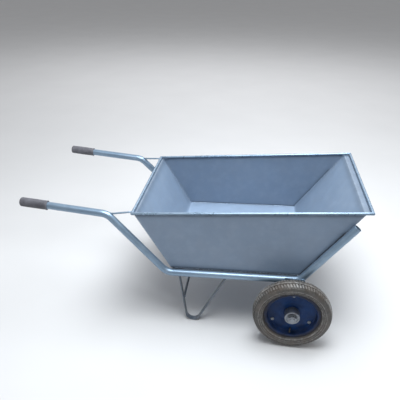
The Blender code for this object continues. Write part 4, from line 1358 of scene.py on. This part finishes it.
def add_collar(bm, centre, axis, radius, bead, seed):
    """A bead all round a bar where it meets another piece."""
    spoke = axis.orthogonal().normalized()
    other = axis.cross(spoke)
    angles = [*turns(40), 2 * math.pi]
    line = [centre + radius * (spoke * math.cos(a) + other * math.sin(a)) for a in angles]
    add_bead(bm, line, bead, seed, 0.0035)


def build_rim_welds():
    """Small fillets where the four rim bars meet, and tacks along the sheets' top edges."""
    bm = bmesh.new()
    for sign in SIDES.values():
        for number, (corner, inward) in enumerate(((RIM_REAR, 1), (RIM_FRONT, -1))):
            spot = upright(corner, sign * (SIDE_PLANE - RIM_ROD_RADIUS * 0.95))
            add_collar(bm, spot, ACROSS, RIM_ROD_RADIUS * 0.84, 0.0013, 70 + number + sign)
            under = corner + ALONG_RIM * inward * 0.012 - Vector((0, RIM_ROD_RADIUS))
            ends = (under, under + ALONG_RIM * inward * 0.03)
            line = [upright(end, sign * (SIDE_PLANE - 0.0035)) for end in ends]
            add_bead(bm, line, 0.0022, 75 + number + sign)
        for tack in range(1, RIM_TACKS + 1):
            start = RIM_REAR.lerp(RIM_FRONT, tack / (RIM_TACKS + 1)) - Vector((0, RIM_ROD_RADIUS + 0.0004))
            line = [upright(end, sign * (SIDE_PLANE - 0.0028)) for end in (start, start + ALONG_RIM * 0.022)]
            add_bead(bm, line, 0.0020, 80 + tack + sign)
    piece("rim_welds", bm, "rim_paint", (), look=WELD_LOOK)


def build_leg_welds():
    """Beads along the legs' laps below the rails, at the brace and beside the axle plates."""
    bm = bmesh.new()
    _, along, rear_top, _, front_top, _ = leg_places()
    lift = left_of(along) * LEG_THICKNESS / 2
    rear_lap = (rear_top - along * LEG_LAP, rear_top - along * 0.003)
    front_lap = (front_top + along * 0.003, front_top + along * LEG_LAP)
    rail = point_at_x(RAIL_LINE, AXLE_X)
    for sign in SIDES.values():
        seed = 100 + 10 * sign
        for number, lap in enumerate((rear_lap, front_lap)):
            for across in (-LEG_WIDTH / 2 + 0.0035, LEG_WIDTH / 2 - 0.0035):
                y = sign * LEG_HALF + across
                rise = TUBE_RADIUS - math.sqrt(max(TUBE_RADIUS**2 - (abs(y) - RAIL_HALF) ** 2, 0))
                height = Vector((0, min(rise, 0.006) * 0.5))
                add_bead(bm, [upright(end + lift + height, y) for end in lap], 0.0028, seed + number)
        spot = upright(side_view(middle("leg_brace")), sign * (LEG_HALF - LEG_WIDTH / 2))
        add_collar(bm, spot, ACROSS, BRACE_RADIUS, 0.0020, seed + 5)
        y = sign * (PLATE_PLANE - PLATE_THICKNESS / 2 - 0.001)
        half = Vector((0, TUBE_RADIUS * 0.75))
        for number, x in enumerate((-PLATE_WIDTH / 2, PLATE_WIDTH / 2)):
            spot = Vector((AXLE_X + x, rail.y))
            add_bead(bm, [upright(spot - half, y), upright(spot + half, y)], 0.0030, seed + 6 + number)
    piece("leg_welds", bm, "frame_paint", (), look=WELD_LOOK)


# ---- Stage, light and camera ----


def build_stage():
    bm = bmesh.new()
    bmesh.ops.create_grid(bm, x_segments=8, y_segments=8, size=40)
    mesh = bpy.data.meshes.new("studio_floor")
    bm.to_mesh(mesh)
    bm.free()
    look = Finish("studio_floor")
    tint = look.ramp(look.noise(2, 2), 0.3, 0.7)
    pale, paler = (0.67, 0.67, 0.675), (0.69, 0.69, 0.695)
    mesh.materials.append(look.finish(look.mix(tint, pale, paler), 0.9))
    floor = bpy.data.objects.new("studio_floor", mesh)
    floor.location.z = -0.0005
    bpy.context.scene.collection.objects.link(floor)


def area_light(name, place, target, size, power, colour):
    data = bpy.data.lights.new(name, "AREA")
    data.shape = "RECTANGLE"
    data.size, data.size_y = size
    data.energy = power
    data.color = colour
    light = bpy.data.objects.new(name, data)
    light.location = place
    light.rotation_euler = (Vector(target) - Vector(place)).to_track_quat("-Z", "Y").to_euler()
    bpy.context.scene.collection.objects.link(light)


def build_lights():
    area_light("overhead_light", (0.50, -0.22, 3.0), (0.15, 0, 0.3), (2.8, 1.4), 138, (0.92, 0.965, 1.0))
    area_light("left_light", (-2.8, -0.2, 2.3), (0, 0, 0.35), (1.6, 1.2), 1.0, (0.93, 0.97, 1.0))
    area_light("backdrop_light", (0, 4.2, 3.2), (0, 4.2, 0), (6, 2.4), 90, (0.97, 0.98, 1.0))
    area_light("front_fill", (1.4, -3.4, 1.6), (0.1, 0, 0.3), (2.4, 1.8), 1, (1.0, 0.98, 0.96))
    world = bpy.data.worlds.new("studio_world")
    world.use_nodes = True
    background = world.node_tree.nodes["Background"]
    background.inputs["Color"].default_value = (0.97, 0.98, 1.0, 1)
    background.inputs["Strength"].default_value = 0.38
    bpy.context.scene.world = world


def build_camera():
    data = bpy.data.cameras.new("camera")
    data.lens = 41.2047
    data.sensor_width = 36
    camera = bpy.data.objects.new("camera", data)
    camera.location = (0.2691, -2.0390, 1.6238)
    camera.rotation_euler = (1.0694, -0.0117, 0.1328)
    bpy.context.scene.collection.objects.link(camera)
    bpy.context.scene.camera = camera


build_camera()
build_stage()
build_lights()
build_tray_sides()
build_tray_pan()
build_rim()
build_side_tubes()
build_cross_tubes()
build_corner_stays()
build_legs()
build_grips()
build_axle_plates()
build_axle()
for wheel_side, wheel_sign in SIDES.items():
    build_wheel(wheel_side, wheel_sign)
build_tray_seams()
build_frame_welds()
build_rim_welds()
build_leg_welds()
bpy.context.scene.view_settings.view_transform = "Standard"
